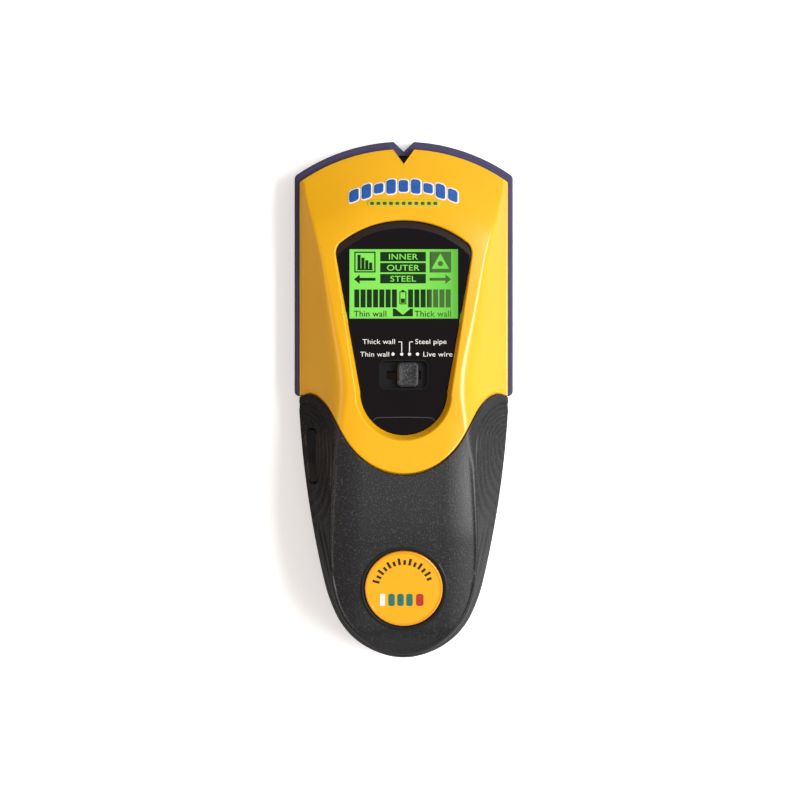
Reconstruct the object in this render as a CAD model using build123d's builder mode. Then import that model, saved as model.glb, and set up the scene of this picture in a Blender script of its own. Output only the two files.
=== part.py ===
"""Stud finder: a handheld wall scanner, built lying on its flat back.

+Z leaves the front face, +Y points to the sensing head, +X is to the right of someone
who reads the display. The origin is the centre of the footprint, on the back face.
"""
from build123d import *
import os
from math import cos, hypot, radians, sin, sqrt, tan

os.makedirs("parts", exist_ok=True)

# ---------------------------------------------------------------- driving dimensions (mm)
# Plan outline
head_width = 76.3
head_length = 89.0              # shoulder of the rear housing to the head's top
handle_length = 91.0            # shoulder to the tail
head_arc_radius = 66.0
head_corner_radius = 2.0
rim_side = 1.8                  # rear housing showing beside the front housing
rim_top = 2.8
ear_step = 1.65                 # the grip's ears stand this far inside the head's sides
waist_half = 33.2               # half width of the handle at its middle
waist_from_tail = 54.7
hip_half = 27.8                 # half width where the tail starts to round
hip_from_tail = 26.7
tail_radius = 26.2
tail_arc_angle = 65.0

# Heights above the back face
parting_z = 12.0
case_top_z = 36.8               # apex of the two slopes of the crown, before rounding
case_top_from_tail = 62.0
head_end_z = 22.9
neck_z = 34.6
neck_from_tail = 44.0
tail_brow_z = 24.9
tail_brow_from_tail = 8.5
tail_end_z = 13.8
forehead_inner_radius = 20.0
forehead_inner_z = 33.2
forehead_middle_rise = 6.0
forehead_bend_radius = 44.0
forehead_bend_z = 26.0
forehead_rim_z = 15.5
forehead_bend = 40.0
case_top_bend = 60.0
neck_bend = 40.0
brow_bend = 8.0
draft_top_z = 40.0              # height at which the drafted sides are measured
draft_head = 7.8                # sides lean in this far up to draft_top_z
draft_middle = 14.9
draft_arch = 3.0
draft_shoulder = 17.2
draft_waist = 10.0
draft_tail = 6.0

# Walls and fits
wall = 2.2
grip_thickness = 1.8
floor_thickness = 2.4
rear_top_chamfer = 0.8
rear_back_chamfer = 1.2
rear_handle_inset = 1.2         # rear housing stays inside the grip's outline
snug = 0.15                     # gap round a piece that is held still
sliding = 0.3                   # gap round a piece that moves
running = 0.05                  # radial gap of a pin in its hole

# Marking notch in the head's top
notch_half = 3.7
notch_depth = 3.5
front_notch_depth = 8.0

# Boundary between the front housing and the grip
tongue_depth = 26.8             # lowest point of the front housing below the shoulder
ear_rise = 1.2
ear_drop = 5.0                  # widest point of the ears below the shoulder

# Display window, laid out on a plane that rises towards the handle
display_tilt = 4.5
display_from_head = 65.2        # window centre to the head's top
display_z = 28.5
lens_thickness = 2.0
lens_top_half = 23.9
lens_corner_up = 27.8
lens_arch_up = 37.3
lens_arch_fullness = 0.74
lens_foot_radius = 15.0
lens_foot_down = 22.3
lens_corner_radius = 3.0
lens_ledge = 1.6
gasket_thickness = 0.5
scoop_height = 9.0
scoop_angle = 27.0

# Liquid crystal display
lcd_width = 40.0
lcd_height = 26.4
lcd_up = 15.3
lcd_glass = 1.1
lcd_depth = 2.6                 # top of the glass below the window's face
light_guide_thickness = 2.4
holder_wall = 1.5

# Main board
board_depth = 7.8
frame_depth = 4.2               # foot of the frame round the window
board_thickness = 1.6
board_corner_radius = 1.0
board_head_half = 29.0
board_foot_half = 24.0
board_up = 31.5
board_down = 41.0
board_tab_down = 53.5
board_tab_inner = 12.0
board_waist_up = 2.0

# Parts soldered under the main board
chip_size = 10.0
chip_thickness = 1.6
chip_up = 10.0
leg_reach = 5.7
leg_length = 1.4
leg_width = 0.45
leg_pitch = 1.27
legs_each_side = 7
capacitor_radius = 2.5
capacitor_height = 5.4
capacitor_place = (12.0, -24.0)
crystal_length = 10.0
crystal_width = 4.2
crystal_height = 3.2
crystal_up = -2.0

# Room inside the display holder
led_room = 1.8
zebra_room = 2.4

# Mode switch
slot_width = 16.4
slot_height = 9.6
slot_radius = 2.0
slot_down = 16.35
slot_rim = 0.4
tray_floor_depth = 2.6
tray_floor = 0.9
tray_flange_side = 3.0
tray_flange_end = 1.5
knob_width = 7.7
knob_height = 8.8
knob_proud = 0.9
mode_pitch = 2.83
mode_count = 4
mode_at_rest = 2                # counted from zero, from the left
stem_width = 3.0
stem_height = 2.4
switch_width = 18.0
switch_height = 6.0
switch_depth = 4.4
actuator_depth = 1.6

# Power button on the left side
button_length = 15.0
button_height = 7.0
button_z = 18.5
button_from_tail = 70.2
button_travel = 1.0
button_flange_room = 1.8        # flange inside the handle's wall, clear of its lean
button_flange_reach = 1.5       # flange beyond each end of the button
button_flange = 1.2
push_switch_size = 6.0
plunger_radius = 1.6
plunger_length = 1.8            # gap between the flange and the switch

# Battery
battery_width = 26.5
battery_depth = 17.5
battery_length = 46.4
battery_from_tail = 17.6
terminal_height = 2.1
terminal_spacing = 12.7
terminal_radius = 2.9
terminal_cup_radius = 4.3
terminal_gap = 0.05
well_gap = 0.6
well_wall = 1.2
lead_radius = 0.7

# Battery door and its hinge
door_thickness = 1.8
door_lip = 2.4                  # door beyond the battery's sides
door_recess = 0.3
hinge_pin_radius = 0.7
hinge_pin_length = 1.6
hinge_lug = 3.0
latch_width = 9.0
latch_height = 4.5

# Screws
case_screw_radius = 1.1
case_screw_head_radius = 2.3
case_screw_head = 1.6
case_screw_sink = 4.0
case_screw_length = 9.0
case_boss_radius = 3.3
head_screw_inset = 7.4
head_screw_back = 27.0
ear_screw_inset = 11.0
ear_screw_back = 5.5
tail_screw_from_tail = 9.2
board_screw_radius = 0.9
board_screw_head_radius = 1.8
board_screw_head = 1.2
board_screw_length = 5.4
board_boss_radius = 2.4
board_head_screw_inset = 2.8
board_head_screw_up = 20.0
board_foot_screw_inset = 3.2
board_foot_screw_down = 31.0
screw_slot_width = 0.6
screw_slot_depth = 0.7

# Badge on the handle
badge_radius = 13.5
badge_proud = 0.3
badge_from_tail = 24.2
badge_edge = 0.6

# Sensing head
sensor_board_gap = 6.0          # board edge inside the front housing
sensor_board_z = 4.4
sensor_board_thickness = 1.2
plate_thickness = 0.2
plate_width = 16.0
plate_length = 50.0
plate_spacing = 19.0
coil_radius = 12.0
coil_height = 7.0
coil_flange = 0.8
coil_core_radius = 4.0
coil_from_head = 60.0
buzzer_radius = 6.0
buzzer_height = 5.0
link_pin_count = 8
link_pin_pitch = 2.54
link_pin_width = 0.6

sensor_post_inset = 12.0
sensor_post_backs = (38.0, 74.0)  # from the head's end

# Rear label
label_width = 46.0
label_height = 26.0
label_thickness = 0.3
label_from_head = 45.0

# Reach of cutting profiles past the case
beyond = 20.0

# ---------------------------------------------------------------- derived places
length = head_length + handle_length
head_end = length / 2
tail_end = -length / 2
shoulder_y = tail_end + handle_length
head_half = head_width / 2
front_half = head_half - rim_side
ear_half = head_half - ear_step
arc_centre_y = head_end - head_arc_radius
front_arc_radius = head_arc_radius - rim_top
shell_step = grip_thickness + wall
head_cavity_y = shoulder_y + 4.0

display_plane = Plane(
    origin=(0, head_end - display_from_head, display_z),
    x_dir=(1, 0, 0),
    z_dir=(0, sin(radians(display_tilt)), cos(radians(display_tilt))),
)
case_screw_places = [
    (front_half - head_screw_inset, head_end - head_screw_back),
    (-front_half + head_screw_inset, head_end - head_screw_back),
    (ear_half - ear_screw_inset, shoulder_y - ear_screw_back),
    (-ear_half + ear_screw_inset, shoulder_y - ear_screw_back),
    (0, tail_end + tail_screw_from_tail),
]
board_screw_places = [
    (board_head_half - board_head_screw_inset, board_head_screw_up),
    (-board_head_half + board_head_screw_inset, board_head_screw_up),
    (board_foot_half - board_foot_screw_inset, -board_foot_screw_down),
    (-board_foot_half + board_foot_screw_inset, -board_foot_screw_down),
]


def below_window(depth):
    """Display plane moved down by a depth from the window's face."""
    return display_plane.offset(-depth)


def front_outline(inset=0.0, height=0.0):
    """Plan of the front half at the parting plane, or at draft_top_z where height is one."""
    arc_radius = front_arc_radius - draft_arch * height
    corner_x = front_half - draft_head * height
    corner_y = arc_centre_y + sqrt(arc_radius**2 - corner_x**2)
    ear = (ear_half - draft_shoulder * height, shoulder_y - ear_drop)
    side_middle_x = (front_half + ear_half) / 2 - draft_middle * height
    side_middle = (side_middle_x, (corner_y + ear[1]) / 2)
    waist = (waist_half - draft_waist * height, tail_end + waist_from_tail)
    hip = (hip_half - draft_tail * height, tail_end + hip_from_tail)
    radius = tail_radius - draft_tail * height
    centre_y = tail_end + tail_radius
    with BuildSketch() as plan:
        with BuildLine():
            head = ThreePointArc(
                (0, arc_centre_y + arc_radius),
                (arc_radius * sin(radians(15)), arc_centre_y + arc_radius * cos(radians(15))),
                (corner_x, corner_y),
            )
            side = ThreePointArc(head @ 1, side_middle, ear) if height else Line(head @ 1, ear)
            handle = ThreePointArc(side @ 1, waist, hip)
            tail = CenterArc((0, centre_y), radius, -90, tail_arc_angle)
            TangentArc(tail @ 1, handle @ 1, tangent=tail % 1)
            mirror(about=Plane.YZ)
        make_face()
        if inset:
            offset(amount=-inset, kind=Kind.INTERSECTION)
    return plan.sketch


def crown_profile(inset):
    """Side view of the crown: two long slopes, the badge's slope and the tail's brow."""
    case_top = (tail_end + case_top_from_tail, case_top_z)
    head_fall = (case_top_z - head_end_z) / (head_end - case_top[0])
    neck = (tail_end + neck_from_tail, neck_z)
    brow = (tail_end + tail_brow_from_tail, tail_brow_z)
    with BuildSketch() as profile:
        with BuildLine():
            Polyline(
                (head_end + beyond, head_end_z - head_fall * beyond),
                case_top,
                neck,
                brow,
                (tail_end, tail_end_z),
                (tail_end - beyond, 0),
                (tail_end - beyond, -beyond),
                (head_end + beyond, -beyond),
                close=True,
            )
        make_face()
        fillet(profile.vertices().sort_by_distance(case_top)[0], case_top_bend)
        fillet(profile.vertices().sort_by_distance(neck)[0], neck_bend)
        fillet(profile.vertices().sort_by_distance(brow)[0], brow_bend)
        if inset:
            offset(amount=-inset, kind=Kind.INTERSECTION)
    return profile.sketch


def front_form(inset):
    """Solid of the front half above the parting plane, its skin moved in by inset."""
    plan_low = front_outline(inset)
    plan_high = front_outline(inset, 1.0)
    crown = crown_profile(inset)
    with BuildPart() as form:
        with BuildSketch(Plane.XY.offset(parting_z)):
            add(plan_low)
        with BuildSketch(Plane.XY.offset(draft_top_z)):
            add(plan_high)
        loft(ruled=True)
        with BuildSketch(Plane.YZ):
            add(crown)
        extrude(amount=head_width, both=True, mode=Mode.INTERSECT)
        add(forehead(inset), mode=Mode.INTERSECT)
    return form.part


def forehead(inset):
    """Dome that slopes the head down to its arched rim, with room for the whole handle."""
    bend = (forehead_bend_radius, forehead_bend_z - inset)
    with BuildPart() as dome:
        with BuildSketch(Plane.XZ.offset(-arc_centre_y)) as section:
            with BuildLine():
                Polyline(
                    (0, forehead_inner_z + forehead_middle_rise - inset),
                    (forehead_inner_radius, forehead_inner_z - inset),
                    bend,
                    (front_arc_radius, forehead_rim_z - inset),
                    (front_arc_radius + beyond, -beyond),
                    (0, -beyond),
                    close=True,
                )
            make_face()
            fillet(section.vertices().sort_by_distance(bend)[0], forehead_bend)
        revolve(axis=Axis((0, arc_centre_y, 0), (0, 0, 1)), revolution_arc=180)
        with Locations((0, arc_centre_y, -beyond)):
            Box(4 * head_width, length, 2 * draft_top_z, align=(Align.CENTER, Align.MAX, Align.MIN))
    return dome.part


def yellow_zone():
    """Plan of the front housing's visible area, down to the tongue between the grip's ears."""
    with BuildSketch() as zone:
        with BuildLine():
            edge = Spline(
                (0, shoulder_y - tongue_depth),
                (10.5, shoulder_y - tongue_depth + 2.7),
                (19.6, shoulder_y - 15.7),
                (24.5, shoulder_y - 6.6),
                (27.6, shoulder_y - 1.8),
                (ear_half - 4.6, shoulder_y + ear_rise),
                (ear_half + 0.5, shoulder_y - 0.2),
                tangents=((1, 0), (1, -0.4)),
            )
            Polyline(
                edge @ 1,
                (head_width, shoulder_y),
                (head_width, head_end + beyond),
                (0, head_end + beyond),
            )
            mirror(about=Plane.YZ)
        make_face()
    return zone.sketch


def lens_outline(grow=0.0):
    """Window plan on the display plane: arched top, leaning sides and a round foot."""
    with BuildSketch() as window:
        with BuildLine():
            arch = ThreePointArc(
                (0, lens_arch_up),
                (lens_top_half / 2, lens_corner_up + lens_arch_fullness * (lens_arch_up - lens_corner_up)),
                (lens_top_half, lens_corner_up),
            )
            side = Line(arch @ 1, (lens_foot_radius, -lens_foot_down))
            RadiusArc(side @ 1, (0, -lens_foot_down - lens_foot_radius), lens_foot_radius)
            mirror(about=Plane.YZ)
        make_face()
        top_corners = window.vertices().group_by(Axis.Y)[-2]
        fillet(top_corners, lens_corner_radius)
        if grow:
            offset(amount=grow, kind=Kind.INTERSECTION)
    return window.sketch


def head_plan(arc_radius, half_width):
    """Plan of the head: arched top and straight sides down to the shoulder."""
    corner_y = arc_centre_y + sqrt(arc_radius**2 - half_width**2)
    with BuildSketch() as plan:
        with BuildLine():
            top = (0, arc_centre_y + arc_radius)
            arch = ThreePointArc((-half_width, corner_y), top, (half_width, corner_y))
            Polyline(arch @ 1, (half_width, shoulder_y), (-half_width, shoulder_y), arch @ 0)
        make_face()
    return plan.sketch


def notch_plan(depth_below_head, mouth_y):
    """Marking notch: a V whose mouth is at mouth_y and whose tip points at the handle."""
    tip_y = head_end - depth_below_head
    widening = notch_half / notch_depth if mouth_y >= head_end else notch_half / (mouth_y - tip_y)
    open_y = head_end + beyond
    open_half = widening * (open_y - tip_y)
    with BuildSketch() as notch:
        with BuildLine():
            Polyline((0, tip_y), (open_half, open_y), (-open_half, open_y), close=True)
        make_face()
    return notch.sketch


outer_form = front_form(0.0)
under_grip_form = front_form(grip_thickness)
handle_cavity_form = front_form(shell_step)
head_cavity_form = front_form(wall)
front_plan = front_outline()
zone_plan = yellow_zone()
notch_rear = notch_plan(notch_depth, head_end)
notch_front = notch_plan(front_notch_depth, head_end - rim_top)

# Places along the body that several pieces share
battery_near_y = tail_end + battery_from_tail
battery_far_y = battery_near_y + battery_length
battery_low_z = floor_thickness + well_gap
battery_mid_z = battery_low_z + battery_depth / 2
snap_y = battery_far_y + terminal_height
snap_thickness = 1.6
well_near_y = battery_near_y - well_gap
well_far_y = snap_y + snap_thickness + well_gap
well_half = battery_width / 2 + well_gap
well_top_z = battery_low_z + battery_depth + well_gap
door_half = battery_width / 2 + door_lip
door_near_y = battery_near_y - door_lip
hinge_y = battery_far_y + 4.0
hinge_z = door_recess + door_thickness / 2
holder_width = lcd_width + 2 * snug + 2 * led_room
holder_height = lcd_height + 2 * snug + 2 * zebra_room
button_y = tail_end + button_from_tail
flange_end = button_from_tail - button_length / 2 - button_flange_reach
button_share = (flange_end - waist_from_tail) / (handle_length - ear_drop - waist_from_tail)
button_side_half = waist_half + (ear_half - waist_half) * button_share
button_draft = draft_waist + (draft_shoulder - draft_waist) * button_share
button_wall_x = -(button_side_half - button_draft * (button_z - parting_z) / (draft_top_z - parting_z))
button_flange_x = button_wall_x + shell_step + button_flange_room
sensor_post_places = [
    (side * (front_half - sensor_post_inset), head_end - back)
    for side in (-1, 1)
    for back in sensor_post_backs
]
badge_slope = (neck_z - tail_brow_z) / (neck_from_tail - tail_brow_from_tail)
badge_y = tail_end + badge_from_tail
badge_z = tail_brow_z + badge_slope * (badge_from_tail - tail_brow_from_tail)
badge_fall = hypot(1.0, badge_slope)
badge_plane = Plane(
    origin=(0, badge_y, badge_z),
    x_dir=(1, 0, 0),
    z_dir=(0, -badge_slope / badge_fall, 1 / badge_fall),
)
badge_axis = Axis(badge_plane.origin, badge_plane.z_dir)
display_axis = Axis(display_plane.origin, display_plane.z_dir)
handle_cavity_plan = front_outline(shell_step)
with BuildSketch() as head_cavity_sketch:
    add(front_outline(wall))
    with Locations((0, head_cavity_y)):
        Rectangle(3 * head_width, length, align=(Align.CENTER, Align.MIN), mode=Mode.INTERSECT)
head_cavity_plan = head_cavity_sketch.sketch

with BuildPart() as head_cavity:
    add(head_cavity_form)
    with Locations((0, head_cavity_y, 0)):
        Box(3 * head_width, length, 3 * draft_top_z, align=(Align.CENTER, Align.MIN, Align.MIN),
            mode=Mode.INTERSECT)
head_cavity_part = head_cavity.part

# Frame round the window and a solid V behind the marking notch, both within the skin
with BuildPart() as frame_block:
    add(outer_form)
    with BuildSketch(below_window(frame_depth)):
        add(lens_outline(snug + scoop_height * tan(radians(scoop_angle)) / 2 + wall))
    extrude(amount=draft_top_z, mode=Mode.INTERSECT)
with BuildPart() as notch_block:
    add(outer_form)
    with BuildSketch(Plane.XY.offset(parting_z)):
        add(notch_plan(front_notch_depth + 2 * wall, head_end - rim_top + wall))
    extrude(amount=draft_top_z, mode=Mode.INTERSECT)
window_frame = frame_block.part + notch_block.part

# Posts that hang from the skin: the case screws bite in some, the main board sits on the others
with BuildPart() as post_block:
    for x, y in case_screw_places:
        with Locations((x, y, parting_z)):
            Cylinder(case_boss_radius, draft_top_z, align=(Align.CENTER, Align.CENTER, Align.MIN))
    for x, up in board_screw_places:
        with Locations(below_window(board_depth)):
            with Locations((x, up, 0)):
                Cylinder(board_boss_radius, draft_top_z, align=(Align.CENTER, Align.CENTER, Align.MIN))
    add(under_grip_form, mode=Mode.INTERSECT)
front_posts = post_block.part

# Slot through the left wall for the power button
with BuildPart() as button_slot:
    with BuildSketch(Plane.YZ):
        with Locations((button_y, button_z)):
            RectangleRounded(button_length + 2 * sliding, button_height + 2 * sliding, button_height / 2.2)
    extrude(amount=-head_half)
    with Locations((button_flange_x, button_y, button_z)):
        Box(head_half, length / 2, length / 2, align=(Align.MIN, Align.CENTER, Align.CENTER),
            mode=Mode.SUBTRACT)
button_hole = button_slot.part


# ---------------------------------------------------------------- rear housing
with BuildPart() as rear_housing:
    with BuildSketch() as head_tray:
        add(head_plan(head_arc_radius, head_half))
        fillet(head_tray.vertices().group_by(Axis.Y)[-1], head_corner_radius)
        fillet(head_tray.vertices().group_by(Axis.Y)[0], rim_side)
    extrude(amount=parting_z)
    chamfer(rear_housing.edges().group_by(Axis.Z)[-1], rear_top_chamfer)
    chamfer(rear_housing.edges().group_by(Axis.Z)[0], rear_back_chamfer)
    with BuildSketch() as handle_tray:
        add(front_plan)
        offset(amount=-rear_handle_inset, kind=Kind.INTERSECTION)
        with Locations((0, shoulder_y + 2.0)):
            Rectangle(3 * head_width, length, align=(Align.CENTER, Align.MIN), mode=Mode.SUBTRACT)
    extrude(amount=parting_z)
    with BuildSketch(Plane.XY.offset(floor_thickness)):
        add(handle_cavity_plan)
        add(head_cavity_plan)
    extrude(amount=parting_z, mode=Mode.SUBTRACT)

    # Battery well, open to the back and closed towards the circuit boards
    with BuildSketch():
        with Locations((0, well_near_y - well_wall)):
            Rectangle(2 * (well_half + well_wall), well_far_y - well_near_y + 2 * well_wall,
                      align=(Align.CENTER, Align.MIN))
    extrude(amount=well_top_z + well_wall)
    with BuildSketch():
        with Locations((0, well_near_y)):
            Rectangle(2 * well_half, well_far_y - well_near_y, align=(Align.CENTER, Align.MIN))
    extrude(amount=well_top_z, mode=Mode.SUBTRACT)

    # Recess that the door closes, with lugs for its hinge pins
    for side in (-1, 1):
        with Locations((side * (door_half + snug), hinge_y, 0)):
            Box(hinge_lug, 2 * hinge_lug, floor_thickness + 2.0,
                align=(Align.MIN if side > 0 else Align.MAX, Align.CENTER, Align.MIN))
    with BuildSketch():
        with Locations((0, door_near_y - sliding)):
            Rectangle(2 * (door_half + snug), hinge_y + door_thickness / 2 + sliding - door_near_y + sliding,
                      align=(Align.CENTER, Align.MIN))
    extrude(amount=door_recess + door_thickness + snug, mode=Mode.SUBTRACT)
    with BuildSketch():
        with Locations((0, well_near_y)):
            Rectangle(2 * well_half, hinge_y + 1.4 - well_near_y, align=(Align.CENTER, Align.MIN))
    extrude(amount=floor_thickness + well_gap, mode=Mode.SUBTRACT)
    with Locations(Plane.YZ):
        with Locations((hinge_y, hinge_z)):
            Cylinder(hinge_pin_radius + running, 2 * (door_half + hinge_pin_length + sliding),
                     mode=Mode.SUBTRACT)
    with Locations((0, well_near_y, door_recess + door_thickness)):
        Box(latch_width + 2 * sliding, 2 * well_wall, latch_height + sliding,
            align=(Align.CENTER, Align.MAX, Align.MIN), mode=Mode.SUBTRACT)

    # Holes that lead the battery's wires out of the well
    for side in (-1, 1):
        with Locations(Plane.XZ.offset(-well_far_y)):
            with Locations((side * terminal_spacing / 2, battery_mid_z, 0)):
                Cylinder(lead_radius + snug, 4 * well_wall, mode=Mode.SUBTRACT)

    # Posts for the case screws, sunk from the back
    for x, y in case_screw_places:
        with Locations((x, y, 0)):
            Cylinder(case_boss_radius, parting_z, align=(Align.CENTER, Align.CENTER, Align.MIN))
            Cylinder(case_screw_radius + snug, parting_z, align=(Align.CENTER, Align.CENTER, Align.MIN),
                     mode=Mode.SUBTRACT)
            Cylinder(case_screw_head_radius + snug, case_screw_sink,
                     align=(Align.CENTER, Align.CENTER, Align.MIN), mode=Mode.SUBTRACT)

    # Standoffs under the sensor board
    for x, y in sensor_post_places:
        with Locations((x, y, floor_thickness)):
            Cylinder(2.0, sensor_board_z - floor_thickness, align=(Align.CENTER, Align.CENTER, Align.MIN))

    with BuildSketch():
        add(notch_rear)
    extrude(amount=2 * parting_z, both=True, mode=Mode.SUBTRACT)
    with BuildSketch():
        with Locations((0, head_end - label_from_head)):
            RectangleRounded(label_width + 2 * snug, label_height + 2 * snug, 2.0)
    extrude(amount=label_thickness + door_recess, mode=Mode.SUBTRACT)


# ---------------------------------------------------------------- front housing and grip
with BuildPart() as front_housing:
    add(outer_form)
    with BuildSketch(Plane.XY.offset(parting_z)):
        add(zone_plan)
    extrude(amount=2 * draft_top_z, mode=Mode.INTERSECT)
    add(under_grip_form)
    add(handle_cavity_form, mode=Mode.SUBTRACT)
    add(head_cavity_part, mode=Mode.SUBTRACT)
    add(window_frame)
    add(front_posts)
    with BuildSketch(below_window(lens_thickness + gasket_thickness)):
        add(lens_outline(-lens_ledge))
    extrude(amount=-draft_top_z, mode=Mode.SUBTRACT)
    with BuildSketch(below_window(lens_thickness + gasket_thickness)):
        add(lens_outline(snug))
    extrude(amount=lens_thickness + gasket_thickness, mode=Mode.SUBTRACT)
    with BuildSketch(display_plane):
        add(lens_outline(snug))
    with BuildSketch(display_plane.offset(scoop_height)):
        add(lens_outline(snug + scoop_height * tan(radians(scoop_angle))))
    loft(ruled=True, mode=Mode.SUBTRACT)
    with BuildSketch(Plane.XY.offset(parting_z)):
        add(notch_front)
    extrude(amount=draft_top_z, mode=Mode.SUBTRACT)
    add(button_hole, mode=Mode.SUBTRACT)
    with BuildSketch(below_window(lens_thickness + gasket_thickness)):
        with Locations((0, lcd_up)):
            Rectangle(holder_width + 2 * (holder_wall + sliding), holder_height + 2 * (holder_wall + sliding))
    extrude(amount=-draft_top_z, mode=Mode.SUBTRACT)
    for x, y in case_screw_places:
        with Locations((x, y, parting_z)):
            Cylinder(case_screw_radius + running, case_screw_sink + case_screw_length - parting_z,
                     align=(Align.CENTER, Align.CENTER, Align.MIN), mode=Mode.SUBTRACT)
    for x, up in board_screw_places:
        with Locations(below_window(board_depth)):
            with Locations((x, up, 0)):
                Cylinder(board_screw_radius + running, board_screw_length - board_thickness,
                         align=(Align.CENTER, Align.CENTER, Align.MIN), mode=Mode.SUBTRACT)

with BuildPart() as grip_overmould:
    add(outer_form)
    with BuildSketch(Plane.XY.offset(parting_z)):
        add(zone_plan)
    extrude(amount=2 * draft_top_z, mode=Mode.SUBTRACT)
    add(under_grip_form, mode=Mode.SUBTRACT)
    add(button_hole, mode=Mode.SUBTRACT)
    with BuildSketch(badge_plane):
        Circle(badge_radius + snug)
    extrude(amount=2 * grip_thickness, both=True, mode=Mode.SUBTRACT)


# ---------------------------------------------------------------- window and display
with BuildPart() as window_lens:
    with BuildSketch(below_window(lens_thickness)):
        add(lens_outline())
        with Locations((0, -slot_down)):
            RectangleRounded(slot_width + 2 * slot_rim + 2 * snug, slot_height + 2 * slot_rim + 2 * snug,
                             slot_radius + slot_rim, mode=Mode.SUBTRACT)
    extrude(amount=lens_thickness)

with BuildPart() as lens_gasket:
    with BuildSketch(below_window(lens_thickness + gasket_thickness)):
        add(lens_outline(-snug))
        add(lens_outline(-lens_ledge), mode=Mode.SUBTRACT)
    extrude(amount=gasket_thickness)

with BuildPart() as lcd_front_glass:
    with BuildSketch(below_window(lcd_depth + lcd_glass)):
        with Locations((0, lcd_up)):
            Rectangle(lcd_width, lcd_height)
    extrude(amount=lcd_glass)

with BuildPart() as lcd_rear_glass:
    with BuildSketch(below_window(lcd_depth + 2 * lcd_glass)):
        with Locations((0, lcd_up - 1.0)):
            Rectangle(lcd_width, lcd_height + 2.0)
    extrude(amount=lcd_glass)

light_guide_depth = lcd_depth + 2 * lcd_glass + light_guide_thickness
with BuildPart() as light_guide:
    with BuildSketch(below_window(light_guide_depth)):
        with Locations((0, lcd_up)):
            Rectangle(lcd_width, lcd_height)
    extrude(amount=light_guide_thickness)

with BuildPart() as lcd_holder:
    with BuildSketch(below_window(board_depth)):
        with Locations((0, lcd_up)):
            Rectangle(holder_width + 2 * holder_wall, holder_height + 2 * holder_wall)
            Rectangle(holder_width, holder_height, mode=Mode.SUBTRACT)
    extrude(amount=board_depth - lcd_depth - lcd_glass)

with BuildPart() as backlight_leds:
    with BuildSketch(below_window(board_depth)):
        for side in (-1, 1):
            with Locations((side * (lcd_width + led_room) / 2, lcd_up)):
                with GridLocations(0, 9.0, 1, 2):
                    Rectangle(led_room - 2 * snug, 3.0)
    extrude(amount=board_depth - light_guide_depth + 1.8)

with BuildPart() as zebra_strip:
    with BuildSketch(below_window(board_depth)):
        with Locations((0, lcd_up - lcd_height / 2 - zebra_room / 2 - 0.3)):
            Rectangle(lcd_width - 4.0, zebra_room - 0.9)
    extrude(amount=board_depth - lcd_depth - 2 * lcd_glass)


# ---------------------------------------------------------------- main board and its parts
board_bottom = board_depth + board_thickness
with BuildPart() as main_board:
    with BuildSketch(below_window(board_bottom)) as board_plan:
        Polygon(
            (-board_head_half, board_up),
            (board_head_half, board_up),
            (board_head_half, board_waist_up),
            (board_foot_half, board_waist_up - 20.0),
            (board_foot_half, -board_down),
            (-board_tab_inner, -board_down),
            (-board_tab_inner, -board_tab_down),
            (-board_foot_half + 2.0, -board_tab_down),
            (-board_foot_half, -board_down),
            (-board_foot_half, board_waist_up - 20.0),
            (-board_head_half, board_waist_up),
            align=None,
        )
        fillet(board_plan.vertices(), board_corner_radius)
    extrude(amount=board_thickness)
    for x, up in board_screw_places:
        with Locations(below_window(board_bottom)):
            with Locations((x, up, 0)):
                Cylinder(board_screw_radius + snug, 4 * board_thickness, mode=Mode.SUBTRACT)
    for x, y in case_screw_places:
        with Locations((x, y, parting_z)):
            Cylinder(case_boss_radius + sliding, draft_top_z, mode=Mode.SUBTRACT)

with BuildPart() as board_screws:
    for x, up in board_screw_places:
        with Locations(below_window(board_bottom)):
            with Locations((x, up, 0)):
                Cylinder(board_screw_radius, board_screw_length,
                         align=(Align.CENTER, Align.CENTER, Align.MIN))
                Cylinder(board_screw_head_radius, board_screw_head,
                         align=(Align.CENTER, Align.CENTER, Align.MAX))
                with Locations((0, 0, -board_screw_head)):
                    Box(2 * board_screw_head_radius, screw_slot_width, 2 * screw_slot_depth,
                        mode=Mode.SUBTRACT)

with BuildPart() as microcontroller:
    with BuildSketch(below_window(board_bottom)):
        with Locations((0, chip_up)):
            Rectangle(chip_size, chip_size)
    extrude(amount=-chip_thickness)

with BuildPart() as microcontroller_legs:
    with BuildSketch(below_window(board_bottom)):
        with Locations((0, chip_up)):
            for side in (-1, 1):
                with Locations((side * leg_reach, 0)):
                    with GridLocations(0, leg_pitch, 1, legs_each_side):
                        Rectangle(leg_length, leg_width)
                with Locations((0, side * leg_reach)):
                    with GridLocations(leg_pitch, 0, legs_each_side, 1):
                        Rectangle(leg_width, leg_length)
    extrude(amount=-0.5)

with BuildPart() as chip_parts:
    with BuildSketch(below_window(board_bottom)):
        with Locations((-13.0, -6.0)):
            with GridLocations(4.0, 4.0, 2, 5):
                Rectangle(2.0, 1.2)
        with Locations((13.0, -6.0)):
            with GridLocations(4.0, 4.0, 2, 5):
                Rectangle(1.2, 2.0)
    extrude(amount=-0.7)

with BuildPart() as electrolytic_capacitor:
    with Locations(below_window(board_bottom)):
        with Locations((*capacitor_place, 0)):
            Cylinder(capacitor_radius, capacitor_height, align=(Align.CENTER, Align.CENTER, Align.MAX))
    fillet(electrolytic_capacitor.edges().group_by(display_axis)[0], 0.4)

with BuildPart() as crystal:
    with BuildSketch(below_window(board_bottom)):
        with Locations((0, crystal_up)):
            SlotOverall(crystal_length, crystal_width)
    extrude(amount=-crystal_height)
    fillet(crystal.edges().group_by(display_axis)[0], 0.5)


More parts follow.
